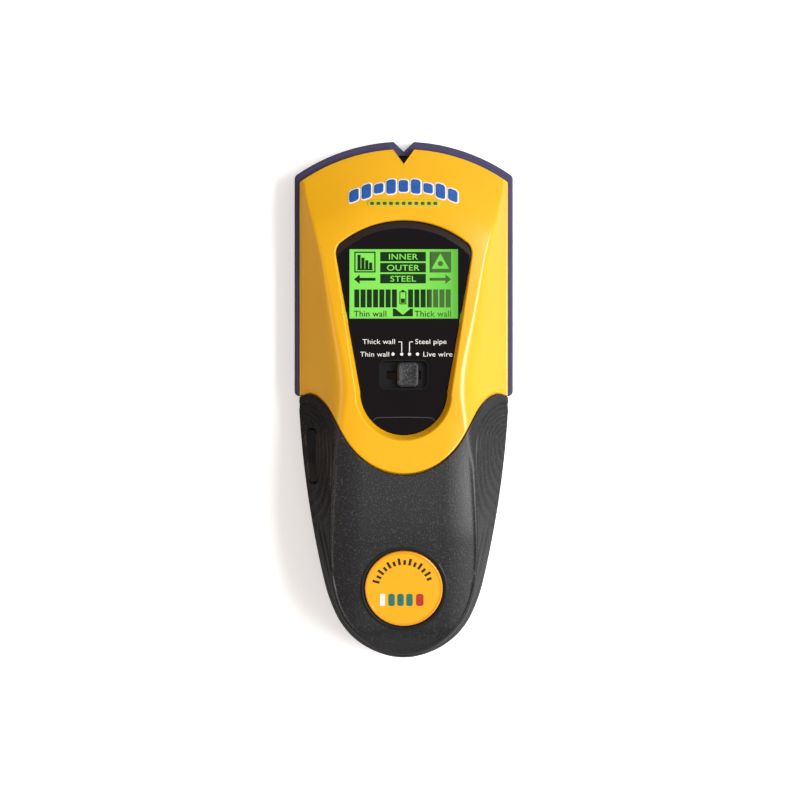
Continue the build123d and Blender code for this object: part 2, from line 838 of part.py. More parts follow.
# ---------------------------------------------------------------- mode switch and knob
knob_at = (mode_at_rest - (mode_count - 1) / 2) * mode_pitch
travel_half = (mode_count - 1) / 2 * mode_pitch
with BuildPart() as switch_bezel:
    with BuildSketch(below_window(tray_floor_depth + tray_floor)):
        with Locations((0, -slot_down)):
            RectangleRounded(slot_width + 2 * slot_rim, slot_height + 2 * slot_rim, slot_radius + slot_rim)
    extrude(amount=tray_floor_depth + tray_floor - snug)
    with BuildSketch(below_window(tray_floor_depth)):
        with Locations((0, -slot_down)):
            RectangleRounded(slot_width, slot_height, slot_radius)
    extrude(amount=tray_floor_depth, mode=Mode.SUBTRACT)
    with BuildSketch(below_window(tray_floor_depth + tray_floor)):
        with Locations((0, -slot_down)):
            Rectangle(stem_width + 2 * travel_half + 2 * sliding, stem_height + 2 * sliding)
    extrude(amount=tray_floor, mode=Mode.SUBTRACT)
    with BuildSketch(below_window(lens_thickness + gasket_thickness + tray_floor)):
        with Locations((0, -slot_down)):
            Rectangle(slot_width + 2 * tray_flange_side, slot_height + 2 * tray_flange_end)
            RectangleRounded(slot_width + 2 * slot_rim, slot_height + 2 * slot_rim, slot_radius + slot_rim,
                             mode=Mode.SUBTRACT)
    extrude(amount=tray_floor + gasket_thickness - snug)

with BuildPart() as mode_knob:
    with BuildSketch(below_window(tray_floor_depth - snug)):
        with Locations((knob_at, -slot_down)):
            RectangleRounded(knob_width, knob_height, slot_radius - sliding)
    extrude(amount=tray_floor_depth - snug + knob_proud)
    fillet(mode_knob.faces().sort_by(display_axis)[-1].edges(), 0.5)
    with BuildSketch(below_window(switch_depth - 0.6)):
        with Locations((knob_at, -slot_down)):
            Rectangle(stem_width, stem_height)
    extrude(amount=switch_depth - 0.6 - tray_floor_depth + snug)

with BuildPart() as slide_switch_body:
    with BuildSketch(below_window(board_depth)):
        with Locations((0, -slot_down)):
            Rectangle(switch_width, switch_height)
    extrude(amount=board_depth - switch_depth)
    with BuildSketch(below_window(switch_depth + actuator_depth)):
        with Locations((0, -slot_down)):
            Rectangle(stem_width + 2 * travel_half + 2 * sliding, stem_height + 2 * snug)
    extrude(amount=actuator_depth, mode=Mode.SUBTRACT)

with BuildPart() as slide_switch_actuator:
    with BuildSketch(below_window(switch_depth + actuator_depth - snug)):
        with Locations((knob_at, -slot_down)):
            Rectangle(stem_width, stem_height)
    extrude(amount=actuator_depth - snug + 0.6)

with BuildPart() as slide_switch_pins:
    with BuildSketch(below_window(board_bottom)):
        with Locations((0, -slot_down)):
            with GridLocations(mode_pitch, 0, mode_count + 1, 1):
                Rectangle(0.5, 0.8)
    extrude(amount=-1.2)


# ---------------------------------------------------------------- power button and its switch
with BuildPart() as power_button:
    with BuildSketch(Plane.YZ.offset(button_flange_x)):
        with Locations((button_y, button_z)):
            RectangleRounded(button_length, button_height, button_height / 2.5)
    extrude(amount=-head_half)
    add(outer_form, mode=Mode.INTERSECT)
    with BuildSketch(Plane.YZ.offset(button_flange_x)):
        with Locations((button_y, button_z)):
            Rectangle(button_length + 2 * button_flange_reach, button_height - 2 * sliding)
    extrude(amount=button_flange)

switch_x = button_flange_x + button_flange + plunger_length
with BuildPart() as push_switch_plunger:
    with Locations(Plane.YZ.offset(button_flange_x + button_flange)):
        with Locations((button_y, button_z, 0)):
            Cylinder(plunger_radius, plunger_length + 0.6, align=(Align.CENTER, Align.CENTER, Align.MIN))

with BuildPart() as push_switch_body:
    with Locations((switch_x, button_y, button_z)):
        Box(push_switch_size, push_switch_size, push_switch_size,
            align=(Align.MIN, Align.CENTER, Align.CENTER))
    with Locations(Plane.YZ.offset(switch_x)):
        with Locations((button_y, button_z, 0)):
            Cylinder(plunger_radius + running, 2.2, align=(Align.CENTER, Align.CENTER, Align.MIN),
                     mode=Mode.SUBTRACT)


# ---------------------------------------------------------------- sensing head
with BuildPart() as sensor_board:
    with BuildSketch(Plane.XY.offset(sensor_board_z)):
        add(head_plan(front_arc_radius - sensor_board_gap, front_half - sensor_board_gap))
        with Locations((0, shoulder_y)):
            Rectangle(3 * head_width, 8.0, mode=Mode.SUBTRACT)
    extrude(amount=sensor_board_thickness)
    for x, y in case_screw_places:
        with Locations((x, y, sensor_board_z)):
            Cylinder(case_boss_radius + sliding, 4 * sensor_board_thickness, mode=Mode.SUBTRACT)

with BuildPart() as sensor_plates:
    with BuildSketch(Plane.XY.offset(sensor_board_z - plate_thickness)):
        with Locations((0, head_end - 45.0)):
            with GridLocations(plate_spacing, 0, 3, 1):
                Rectangle(plate_width, plate_length)
        for x, y in sensor_post_places:
            with Locations((x, y)):
                Circle(2.0 + snug, mode=Mode.SUBTRACT)
        for x, y in case_screw_places:
            with Locations((x, y)):
                Circle(case_boss_radius + sliding, mode=Mode.SUBTRACT)
    extrude(amount=plate_thickness)

sensor_top_z = sensor_board_z + sensor_board_thickness
coil_place = (0, head_end - coil_from_head, sensor_top_z)
with BuildPart() as coil_bobbin:
    with Locations(coil_place):
        Cylinder(coil_radius, coil_height, align=(Align.CENTER, Align.CENTER, Align.MIN))
        Cylinder(coil_core_radius, coil_height, align=(Align.CENTER, Align.CENTER, Align.MIN),
                 mode=Mode.SUBTRACT)
        with Locations((0, 0, coil_flange)):
            Cylinder(coil_radius, coil_height - 2 * coil_flange,
                     align=(Align.CENTER, Align.CENTER, Align.MIN), mode=Mode.SUBTRACT)
            Cylinder(coil_core_radius + coil_flange, coil_height - 2 * coil_flange,
                     align=(Align.CENTER, Align.CENTER, Align.MIN))
            Cylinder(coil_core_radius, coil_height, align=(Align.CENTER, Align.CENTER, Align.MIN),
                     mode=Mode.SUBTRACT)

with BuildPart() as coil_winding:
    with Locations(coil_place):
        with Locations((0, 0, coil_flange)):
            Cylinder(coil_radius - 1.0, coil_height - 2 * coil_flange,
                     align=(Align.CENTER, Align.CENTER, Align.MIN))
            Cylinder(coil_core_radius + coil_flange, coil_height,
                     align=(Align.CENTER, Align.CENTER, Align.MIN), mode=Mode.SUBTRACT)

with BuildPart() as ferrite_core:
    with Locations(coil_place):
        Cylinder(coil_core_radius - running, coil_height + 0.8, align=(Align.CENTER, Align.CENTER, Align.MIN))
    chamfer(ferrite_core.edges().group_by(Axis.Z)[-1], 0.3)

with BuildPart() as buzzer:
    with Locations((front_half - 15.0, head_end - 57.0, sensor_top_z)):
        Cylinder(buzzer_radius, buzzer_height, align=(Align.CENTER, Align.CENTER, Align.MIN))
        Cylinder(1.0, 4 * buzzer_height, mode=Mode.SUBTRACT)
    fillet(buzzer.edges().group_by(Axis.Z)[-1].sort_by(Edge.length)[-1], 0.5)

with BuildPart() as link_socket:
    with Locations((-front_half + 15.0, head_end - 62.0, sensor_top_z)):
        Box(2.5, link_pin_count * link_pin_pitch, 6.0, align=(Align.CENTER, Align.CENTER, Align.MIN))
        with GridLocations(0, link_pin_pitch, 1, link_pin_count):
            Box(link_pin_width, link_pin_width, 20.0, mode=Mode.SUBTRACT)

with BuildPart() as link_pins:
    with Locations((-front_half + 15.0, head_end - 62.0, sensor_top_z)):
        with GridLocations(0, link_pin_pitch, 1, link_pin_count):
            Box(link_pin_width, link_pin_width, draft_top_z, align=(Align.CENTER, Align.CENTER, Align.MIN))
    with Locations(below_window(board_bottom)):
        Box(3 * head_width, length, draft_top_z, align=(Align.CENTER, Align.CENTER, Align.MIN),
            mode=Mode.SUBTRACT)


# ---------------------------------------------------------------- battery and its leads
with BuildPart() as battery_case:
    with Locations((0, battery_near_y, battery_low_z)):
        Box(battery_width, battery_length, battery_depth, align=(Align.CENTER, Align.MIN, Align.MIN))
    fillet(battery_case.edges().filter_by(Axis.Y), 1.6)

terminal_plane = Plane.XZ.offset(-battery_far_y)
with BuildPart() as battery_terminals:
    with Locations(terminal_plane):
        with Locations((-terminal_spacing / 2, battery_mid_z, 0)):
            Cylinder(terminal_radius, terminal_height, align=(Align.CENTER, Align.CENTER, Align.MAX))
        with Locations((terminal_spacing / 2, battery_mid_z, 0)):
            Cylinder(terminal_cup_radius, terminal_height, align=(Align.CENTER, Align.CENTER, Align.MAX))
            Cylinder(terminal_radius + terminal_gap, 2 * terminal_height, mode=Mode.SUBTRACT)

with BuildPart() as snap_contacts:
    with Locations(terminal_plane):
        with Locations((terminal_spacing / 2, battery_mid_z, 0)):
            Cylinder(terminal_radius, terminal_height, align=(Align.CENTER, Align.CENTER, Align.MAX))
        with Locations((-terminal_spacing / 2, battery_mid_z, 0)):
            Cylinder(terminal_cup_radius, terminal_height, align=(Align.CENTER, Align.CENTER, Align.MAX))
            Cylinder(terminal_radius + terminal_gap, 2 * terminal_height, mode=Mode.SUBTRACT)

with BuildPart() as snap_plate:
    with Locations((0, snap_y, battery_mid_z)):
        Box(battery_width - 1.0, snap_thickness, battery_depth - 3.0,
            align=(Align.CENTER, Align.MIN, Align.CENTER))
    fillet(snap_plate.edges().filter_by(Axis.Y), 2.0)

with BuildPart() as battery_pad:
    with Locations((0, battery_near_y + battery_length / 2, well_top_z)):
        Box(battery_width - 6.0, battery_length - 12.0, well_gap,
            align=(Align.CENTER, Align.CENTER, Align.MAX))


# ---------------------------------------------------------------- battery door
with BuildPart() as battery_door:
    with BuildSketch(Plane.XY.offset(door_recess)):
        with Locations((0, door_near_y)):
            Rectangle(2 * door_half, hinge_y - door_near_y, align=(Align.CENTER, Align.MIN))
    extrude(amount=door_thickness)
    with Locations(Plane.YZ):
        with Locations((hinge_y, hinge_z)):
            Cylinder(door_thickness / 2, 2 * door_half)
            Cylinder(hinge_pin_radius, 2 * (door_half + hinge_pin_length))
    with Locations((0, well_near_y, door_recess + door_thickness)):
        Box(latch_width, well_wall, latch_height, align=(Align.CENTER, Align.MAX, Align.MIN))
    with BuildSketch(Plane.XY.offset(door_recess)):
        with Locations((0, door_near_y + 6.0)):
            with GridLocations(0, 1.6, 1, 5):
                Rectangle(14.0, 0.7)
    extrude(amount=0.4, mode=Mode.SUBTRACT)


# ---------------------------------------------------------------- screws, badge and label
with BuildPart() as case_screws:
    for x, y in case_screw_places:
        with Locations((x, y, case_screw_sink)):
            Cylinder(case_screw_radius, case_screw_length, align=(Align.CENTER, Align.CENTER, Align.MIN))
            Cylinder(case_screw_head_radius, case_screw_head, align=(Align.CENTER, Align.CENTER, Align.MAX))
            with Locations((0, 0, -case_screw_head)):
                Box(2 * case_screw_head_radius, screw_slot_width, 2 * screw_slot_depth, mode=Mode.SUBTRACT)
                Box(screw_slot_width, 2 * case_screw_head_radius, 2 * screw_slot_depth, mode=Mode.SUBTRACT)

with BuildPart() as name_badge:
    with BuildSketch(badge_plane.offset(-grip_thickness)):
        Circle(badge_radius)
    extrude(amount=grip_thickness + badge_proud)
    fillet(name_badge.edges().group_by(badge_axis)[-1], badge_edge)

with BuildPart() as rear_label:
    with BuildSketch(Plane.XY.offset(door_recess)):
        with Locations((0, head_end - label_from_head)):
            RectangleRounded(label_width, label_height, 2.0)
    extrude(amount=label_thickness)


# ---------------------------------------------------------------- leads from the snap to the main board
def lead(side):
    """Lead from a snap contact, out through the well's end wall and up to the main board."""
    x = side * terminal_spacing / 2
    solder_up = -board_down + 3.0
    board_point = below_window(board_bottom).from_local_coords((x, solder_up, 0))
    start_y = snap_y + snap_thickness
    with BuildPart() as wire:
        with BuildLine() as route:
            FilletPolyline(
                (x, start_y, battery_mid_z),
                (x, well_far_y + well_wall + 2.6, battery_mid_z),
                (x, well_far_y + well_wall + 2.6, battery_mid_z + 4.6),
                (x, board_point.Y, battery_mid_z + 6.6),
                (x, board_point.Y, board_point.Z - 2 * lead_radius * tan(radians(display_tilt))),
                radius=1.6,
            )
        with BuildSketch(Plane(origin=route.line @ 0, z_dir=route.line % 0)):
            Circle(lead_radius)
        sweep()
    return wire.part


sub_parts = dict(
    rear_housing=rear_housing, front_housing=front_housing, grip_overmould=grip_overmould,
    window_lens=window_lens, lens_gasket=lens_gasket, lcd_front_glass=lcd_front_glass,
    lcd_rear_glass=lcd_rear_glass, light_guide=light_guide, lcd_holder=lcd_holder,
    backlight_leds=backlight_leds, zebra_strip=zebra_strip, main_board=main_board,
    board_screws=board_screws, microcontroller=microcontroller, microcontroller_legs=microcontroller_legs,
    chip_parts=chip_parts, electrolytic_capacitor=electrolytic_capacitor, crystal=crystal,
    switch_bezel=switch_bezel, mode_knob=mode_knob, slide_switch_body=slide_switch_body,
    slide_switch_actuator=slide_switch_actuator, slide_switch_pins=slide_switch_pins,
    power_button=power_button, push_switch_plunger=push_switch_plunger, push_switch_body=push_switch_body,
    sensor_board=sensor_board, sensor_plates=sensor_plates, coil_bobbin=coil_bobbin,
    coil_winding=coil_winding, ferrite_core=ferrite_core, buzzer=buzzer, link_socket=link_socket,
    link_pins=link_pins, battery_case=battery_case, battery_terminals=battery_terminals,
    snap_contacts=snap_contacts, snap_plate=snap_plate, battery_pad=battery_pad,
    battery_door=battery_door, case_screws=case_screws, name_badge=name_badge, rear_label=rear_label,
)
for name, builder in sub_parts.items():
    builder.part.label = name
    export_step(builder.part, f"parts/{name}.step")
for name, side in (("lead_red", -1), ("lead_black", 1)):
    wire = lead(side)
    wire.label = name
    export_step(wire, f"parts/{name}.step")
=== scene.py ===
"""Looks of a handheld stud finder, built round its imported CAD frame.

The visible shells are surfaces worked out from one height formula, so the yellow housing, the
grip and the pieces set into them meet exactly. Sizes in this file are in millimetres, and
make_mesh() turns them into metres.
"""

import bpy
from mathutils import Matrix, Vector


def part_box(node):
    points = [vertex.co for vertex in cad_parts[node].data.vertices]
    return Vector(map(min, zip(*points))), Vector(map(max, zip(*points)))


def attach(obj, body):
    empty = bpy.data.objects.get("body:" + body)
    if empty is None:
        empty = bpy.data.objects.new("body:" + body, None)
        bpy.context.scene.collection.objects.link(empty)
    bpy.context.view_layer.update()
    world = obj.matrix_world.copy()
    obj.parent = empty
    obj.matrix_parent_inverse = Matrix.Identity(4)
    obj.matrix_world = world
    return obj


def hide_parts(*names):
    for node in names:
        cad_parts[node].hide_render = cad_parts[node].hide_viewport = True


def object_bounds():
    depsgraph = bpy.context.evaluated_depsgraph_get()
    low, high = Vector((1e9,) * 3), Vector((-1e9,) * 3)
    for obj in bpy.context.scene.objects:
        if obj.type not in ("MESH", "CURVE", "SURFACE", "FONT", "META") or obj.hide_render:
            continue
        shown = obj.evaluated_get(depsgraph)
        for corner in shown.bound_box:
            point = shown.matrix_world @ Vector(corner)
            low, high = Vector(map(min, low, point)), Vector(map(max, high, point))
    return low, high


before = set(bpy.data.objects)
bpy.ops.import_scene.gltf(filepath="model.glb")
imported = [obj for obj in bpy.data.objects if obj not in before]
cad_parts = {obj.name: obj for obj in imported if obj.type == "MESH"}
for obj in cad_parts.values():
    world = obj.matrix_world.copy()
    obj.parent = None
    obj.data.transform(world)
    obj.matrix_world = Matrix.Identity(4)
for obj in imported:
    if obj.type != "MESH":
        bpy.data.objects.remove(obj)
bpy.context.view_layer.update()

import math

import bpy
import numpy as np
from mathutils import Vector

MM = 0.001


def low(node):
    """Lowest corner of a CAD node's box, in millimetres."""
    return np.array(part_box(node)[0]) / MM


def high(node):
    """Highest corner of a CAD node's box, in millimetres."""
    return np.array(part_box(node)[1]) / MM


# ------------------------------------------------------------------ shape of the case
PARTING = low("front_housing")[2]
TAIL = low("grip_overmould")[1]
HEAD = TAIL + 180.0
SHOULDER = TAIL + 91.0
SIDE = 36.35                    # half width of the yellow head at the parting plane
EAR = high("grip_overmould")[0]
ARC_CENTRE = HEAD - 66.0
ARC_RADIUS = 63.2
TILT = math.radians(4.5)        # display plane, rising towards the handle
DISPLAY_Y = HEAD - 65.2
DISPLAY_Z = 28.5
SCOOP_SLOPE = 1.96              # rise of the scoop's wall for each millimetre out
BADGE_Y = TAIL + 24.2
BADGE_Z = 24.9 + 0.2732 * (24.2 - 8.5)
BADGE_TILT = math.atan(0.2732)
BADGE_RADIUS = (high("name_badge")[0] - low("name_badge")[0]) / 2
BUTTON_Y = (low("power_button")[1] + high("power_button")[1]) / 2
BUTTON_Z = (low("power_button")[2] + high("power_button")[2]) / 2


def smooth_min(a, b, k):
    """Smaller of two heights, with the crease between them rounded over a width k."""
    overlap = np.maximum(k - np.abs(a - b), 0) / k
    return np.minimum(a, b) - overlap**2 * k / 4


def smooth_step(x, start, end):
    """0 before start, 1 after end, and an S-curve between."""
    t = np.clip((x - start) / (end - start), 0, 1)
    return t * t * (3 - 2 * t)


def line_through(x, p, q):
    """Height at x on the straight line through two points."""
    return p[1] + (x - p[0]) * (q[1] - p[1]) / (q[0] - p[0])


def spline(points):
    """Natural cubic curve through (x, value) points, as a function of x."""
    xs, vs = np.array(points, float).T
    step = np.diff(xs)
    slope = np.diff(vs) / step
    system = np.eye(len(xs))
    right = np.zeros(len(xs))
    inner = np.arange(1, len(xs) - 1)
    system[inner, inner - 1] = step[:-1]
    system[inner, inner] = 2 * (step[:-1] + step[1:])
    system[inner, inner + 1] = step[1:]
    right[inner] = 6 * np.diff(slope)
    bend = np.linalg.solve(system, right)

    def value(x):
        i = np.clip(np.searchsorted(xs, x) - 1, 0, len(step) - 1)
        t = np.clip(x, xs[0], xs[-1]) - xs[i]
        h = step[i]
        start = slope[i] - h * (2 * bend[i] + bend[i + 1]) / 6
        return vs[i] + t * (start + t * (bend[i] / 2 + t * (bend[i + 1] - bend[i]) / (6 * h)))

    return value


def curve_through(points, count):
    """Evenly spaced points on a smooth curve through the given points."""
    points = np.array(points, float)
    along = np.concatenate([[0], np.cumsum(np.hypot(*np.diff(points, axis=0).T))])
    t = np.linspace(0, along[-1], count)
    return np.stack([spline(np.stack([along, points[:, axis]], 1))(t) for axis in (0, 1)], 1)


def arc(centre, radius, start, end, count):
    """Points on a circle between two angles in degrees."""
    angle = np.radians(np.linspace(start, end, count))
    return np.stack([centre[0] + radius * np.cos(angle), centre[1] + radius * np.sin(angle)], 1)


def arc_through(p, q, r, count):
    """Points on the circle through p, q and r, from p to r."""
    p, q, r = (np.array(v, float) for v in (p, q, r))
    system = 2 * np.array([q - p, r - p])
    centre = np.linalg.solve(system, [q @ q - p @ p, r @ r - p @ p])
    start, end = (np.arctan2(*(v - centre)[::-1]) for v in (p, r))
    return arc(centre, np.hypot(*(p - centre)), math.degrees(start), math.degrees(end), count)


def line(p, q, count):
    """Evenly spaced points from p to q."""
    return np.linspace(p, q, count)


TAIL_ARC = arc((0, TAIL + 26.2), 26.2, -90, -25, 40)
HIP = (27.8, TAIL + 26.7)
WAIST = arc_through(HIP, (33.2, TAIL + 54.7), (EAR, SHOULDER - 5), 60)
HIP_ARC = curve_through([TAIL_ARC[-2], TAIL_ARC[-1], (25.95, TAIL + 20.4), HIP, WAIST[1]], 16)[1:-1]
RIGHT_SIDE = np.concatenate([TAIL_ARC[:-1], HIP_ARC, WAIST])
WALL_LINE = np.concatenate([RIGHT_SIDE, [(SIDE, HEAD + 20)]])
BOUNDARY = curve_through(
    [(-EAR - 0.5, SHOULDER - 0.2), (4.6 - EAR, SHOULDER + 1.2), (-27.6, SHOULDER - 1.8),
     (-24.5, SHOULDER - 6.6),
     (-19.6, SHOULDER - 15.7), (-10.5, SHOULDER - 24.1), (0, SHOULDER - 26.8), (10.5, SHOULDER - 24.1),
     (19.6, SHOULDER - 15.7), (24.5, SHOULDER - 6.6), (27.6, SHOULDER - 1.8), (EAR - 4.6, SHOULDER + 1.2),
     (EAR + 0.5, SHOULDER - 0.2)], 241)
LEAN = spline([(TAIL, 0.3), (TAIL + 7, 0.2), (TAIL + 14, 0.16), (TAIL + 30, 0.19), (TAIL + 42, 0.26),
               (TAIL + 60, 0.386), (TAIL + 77, 0.52), (TAIL + 94, 0.675), (TAIL + 110, 0.645),
               (TAIL + 125, 0.575), (TAIL + 140, 0.5), (TAIL + 154, 0.36), (TAIL + 165, 0.28)])


def wall_distance(x, y):
    """Plan distance inwards from the case's side and tail."""
    p = np.stack([np.abs(x), y], -1)[..., None, :]
    a, b = WALL_LINE[:-1], WALL_LINE[1:]
    along = np.clip(((p - a) * (b - a)).sum(-1) / ((b - a)**2).sum(-1), 0, 1)
    return np.hypot(*np.moveaxis(p - a - along[..., None] * (b - a), -1, 0)).min(-1)


def crown(y):
    """Side view of the crown: the least of four slopes, each bend rounded."""
    y = y - TAIL
    front = line_through(y, (62.0, 36.8), (180.0, 22.9))
    rear = line_through(y, (44.0, 34.6), (62.0, 36.8))
    badge = line_through(y, (8.5, 24.9), (44.0, 34.6))
    brow = line_through(y, (0.0, 13.8), (8.5, 24.9))
    z = smooth_min(front, rear, 3.0)
    z = smooth_min(z, badge, 0.6)
    return smooth_min(z, brow, 2.6)


def side_height(x, y):
    """Leaning side wall, which rises as it goes inwards."""
    return PARTING + wall_distance(x, y) / LEAN(y)


def skin(x, y):
    """Outer height of the front of the case: side walls, crown and the dome of the forehead."""
    crease = 2.2 + 3.2 * smooth_step(y, SHOULDER + 60, SHOULDER - 8)
    crease = crease - 2.2 * smooth_step(y, SHOULDER - 12, SHOULDER - 30)
    shoulders = np.maximum(np.abs(x) - 14.0, 0)**2 / (62 + 90 * smooth_step(y, SHOULDER - 25, SHOULDER + 5))
    z = smooth_min(side_height(x, y), crown(y) - shoulders, crease)
    r = np.hypot(x, np.maximum(y - ARC_CENTRE, 0))
    dome = smooth_min(line_through(r, (20.0, 33.2), (44.0, 26.0)),
                      line_through(r, (44.0, 26.0), (ARC_RADIUS, 15.5)), 2.0)
    end_wall = PARTING + (ARC_RADIUS - r) / 0.14
    z = np.where(y > ARC_CENTRE, smooth_min(z, dome, 1.6), z)
    return np.where(y > ARC_CENTRE, smooth_min(z, end_wall, 1.2), z)


def display_z(y):
    """Height of the window's face."""
    return DISPLAY_Z - (y - DISPLAY_Y) * math.tan(TILT)


# ------------------------------------------------------------------ mesh helpers
def make_mesh(name, points, faces, material, body, stands_for=(), smooth=30, thickness=0.0):
    """Object from points in millimetres. It rides on a body and may stand for CAD nodes."""
    mesh = bpy.data.meshes.new(name)
    mesh.from_pydata((np.asarray(points, float) * MM).tolist(), [], faces)
    mesh.validate()
    mesh.update()
    mesh.shade_smooth()
    mesh.set_sharp_from_angle(angle=math.radians(smooth))
    piece = bpy.data.objects.new(name, mesh)
    bpy.context.scene.collection.objects.link(piece)
    mesh.materials.append(material)
    if thickness:
        shell = piece.modifiers.new("wall", "SOLIDIFY")
        shell.thickness = thickness * MM
        shell.offset = -1
    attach(piece, body)
    if stands_for:
        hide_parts(*stands_for)
    return piece


def grid_faces(rows, columns, closed=False):
    """Quads of a grid of points; closed joins the last column to the first."""
    index = np.arange(rows * columns).reshape(rows, columns)
    if closed:
        index = np.concatenate([index, index[:, :1]], 1)
    quads = np.stack([index[:-1, :-1], index[:-1, 1:], index[1:, 1:], index[1:, :-1]], -1)
    return quads.reshape(-1, 4)


def upward(points, faces):
    """The same quads, turned over if most of them look down."""
    p = points[faces]
    normal_z = np.cross(p[:, 2] - p[:, 0], p[:, 3] - p[:, 1])[:, 2].sum()
    return (faces if normal_z > 0 else faces[:, ::-1]).tolist()


def grid_mesh(name, grid, material, body, closed=False, **options):
    """Surface over a (rows, columns, 3) array of points."""
    points = grid.reshape(-1, 3)
    faces = upward(points, grid_faces(*grid.shape[:2], closed))
    return make_mesh(name, points, faces, material, body, **options)


def grid_normals(grid, closed=False):
    """Unit normals of a grid of points, from its two directions."""
    padded = np.concatenate([grid[:, -1:], grid, grid[:, :1]], 1) if closed else grid
    across = np.gradient(padded, axis=1)
    if closed:
        across = across[:, 1:-1]
    normal = np.cross(across, np.gradient(grid, axis=0))
    normal /= np.maximum(np.linalg.norm(normal, axis=-1, keepdims=True), 1e-9)
    return normal * np.sign(normal[..., 2:].sum())


def inset_loop(loop, inset):
    """Closed plan loop moved inwards by a distance."""
    run = np.roll(loop, -1, 0) - np.roll(loop, 1, 0)
    run /= np.hypot(*run.T)[:, None]
    area = (loop[:, 0] * np.roll(loop[:, 1], -1) - loop[:, 1] * np.roll(loop[:, 0], -1)).sum()
    inward = np.stack([-run[:, 1], run[:, 0]], 1) * np.sign(area)
    return loop + inward * inset


def rounded_rectangle(width, height, radius, per_corner=10):
    """Closed loop of a rectangle with round corners, counter-clockwise, centred on the origin."""
    x, y = width / 2 - radius, height / 2 - radius
    corners = [((x, -y), -90), ((x, y), 0), ((-x, y), 90), ((-x, -y), 180)]
    return np.concatenate([arc(c, radius, start, start + 90, per_corner) for c, start in corners])


def on_display(points):
    """From display coordinates (right, up, proud) to the case's frame."""
    x, up, proud = np.asarray(points, float).T
    return np.stack([
        x,
        DISPLAY_Y + up * math.cos(TILT) + proud * math.sin(TILT),
        DISPLAY_Z - up * math.sin(TILT) + proud * math.cos(TILT),
    ], 1)


def on_badge(points):
    """From badge coordinates (right, up, proud) to the case's frame."""
    x, up, proud = np.asarray(points, float).T
    return np.stack([
        x,
        BADGE_Y + up * math.cos(BADGE_TILT) - proud * math.sin(BADGE_TILT),
        BADGE_Z + up * math.sin(BADGE_TILT) + proud * math.cos(BADGE_TILT),
    ], 1)


def on_skin(points):
    """Plan points laid on the outer skin, lifted by their third value."""
    x, y, lift = np.asarray(points, float).T
    return np.stack([x, y, skin(x, y) + lift], 1)


# ------------------------------------------------------------------ materials
def colour(code):
    """Linear RGBA from an sRGB hex code."""
    c = np.array([int(code[i:i + 2], 16) for i in (1, 3, 5)]) / 255
    return (*np.where(c <= 0.04045, c / 12.92, ((c + 0.055) / 1.055)**2.4).tolist(), 1.0)


def add(tree, kind, settings=None, **links):
    """A new node with its settings, and links from other sockets into its named inputs."""
    node = tree.nodes.new(kind)
    for key, value in (settings or {}).items():
        if isinstance(key, str) and hasattr(node, key):
            setattr(node, key, value)
        else:
            node.inputs[key].default_value = value
    for key, socket in links.items():
        tree.links.new(socket, node.inputs[key.replace("_", " ")])
    return node


def surface(name, base, other, patch=6.0, grain=0.35, depth=0.02, rough=(0.35, 0.45), speck=None, **shader):
    """Procedural surface: two close colours in soft patches, uneven gloss and a fine grain.

    patch and grain are sizes in millimetres, and depth is the grain's height in millimetres.
    speck is a third colour, scattered as dots at the grain's own scale.
    """
    material = bpy.data.materials.new(name)
    material.use_nodes = True
    tree = material.node_tree
    tree.nodes.clear()
    place = add(tree, "ShaderNodeTexCoord").outputs["Object"]
    patches = add(tree, "ShaderNodeTexNoise", {"Scale": 1000 / patch, "Detail": 3.0}, Vector=place)
    grains = add(tree, "ShaderNodeTexNoise", {"Scale": 1000 / grain, "Detail": 2.0}, Vector=place)
    tint = add(tree, "ShaderNodeMapRange", {"From Min": 0.35, "From Max": 0.65},
               Value=patches.outputs["Fac"])
    blend = add(tree, "ShaderNodeMix", {"data_type": "RGBA", 6: colour(base), 7: colour(other)},
                Factor=tint.outputs["Result"])
    last = blend.outputs[2]
    if speck:
        dots = add(tree, "ShaderNodeMapRange", {"From Min": 0.54, "From Max": 0.74, "To Max": 0.6},
                   Value=grains.outputs["Fac"])
        flecks = add(tree, "ShaderNodeMix", {"data_type": "RGBA", 7: colour(speck)},
                     Factor=dots.outputs["Result"])
        tree.links.new(last, flecks.inputs[6])
        last = flecks.outputs[2]
    gloss = add(tree, "ShaderNodeMapRange", {"To Min": rough[0], "To Max": rough[1]},
                Value=grains.outputs["Fac"])
    relief = add(tree, "ShaderNodeBump", {"Strength": 1.0, "Distance": depth * MM},
                 Height=grains.outputs["Fac"])
    finish = add(tree, "ShaderNodeBsdfPrincipled", {k.replace("_", " "): v for k, v in shader.items()},
                 Base_Color=last, Roughness=gloss.outputs["Result"], Normal=relief.outputs["Normal"])
    add(tree, "ShaderNodeOutputMaterial", Surface=finish.outputs[0])
    return material


# Glossy moulded ABS in a warm yellow: smooth, with a soft clear sheen.
YELLOW_ABS = surface("yellow_ABS", "#e7ac04", "#e4a804", 25, 0.5, 0.0012, (0.27, 0.33), Coat_Weight=0.25,
                     Coat_Roughness=0.12, Subsurface_Weight=0.05, Subsurface_Radius=(0.003, 0.002, 0.0005))
# Violet ABS of the rear shell, a little duller than the front.
VIOLET_ABS = surface("violet_ABS", "#3f3a60", "#3a3559", 18, 0.45, 0.004, (0.3, 0.4), Coat_Weight=0.2)
# Moulded TPE grip: near-black with a fine speckled spark grain.
GRIP_TPE = surface("charcoal_TPE", "#100f13", "#131216", 12, 0.6, 0.06, (0.4, 0.52), speck="#4a4951",
                   Specular_IOR_Level=0.55)
GRIP_SMOOTH = surface("smooth_TPE", "#0f0e12", "#131216", 6, 0.4, 0.01, (0.35, 0.45), Specular_IOR_Level=0.4)
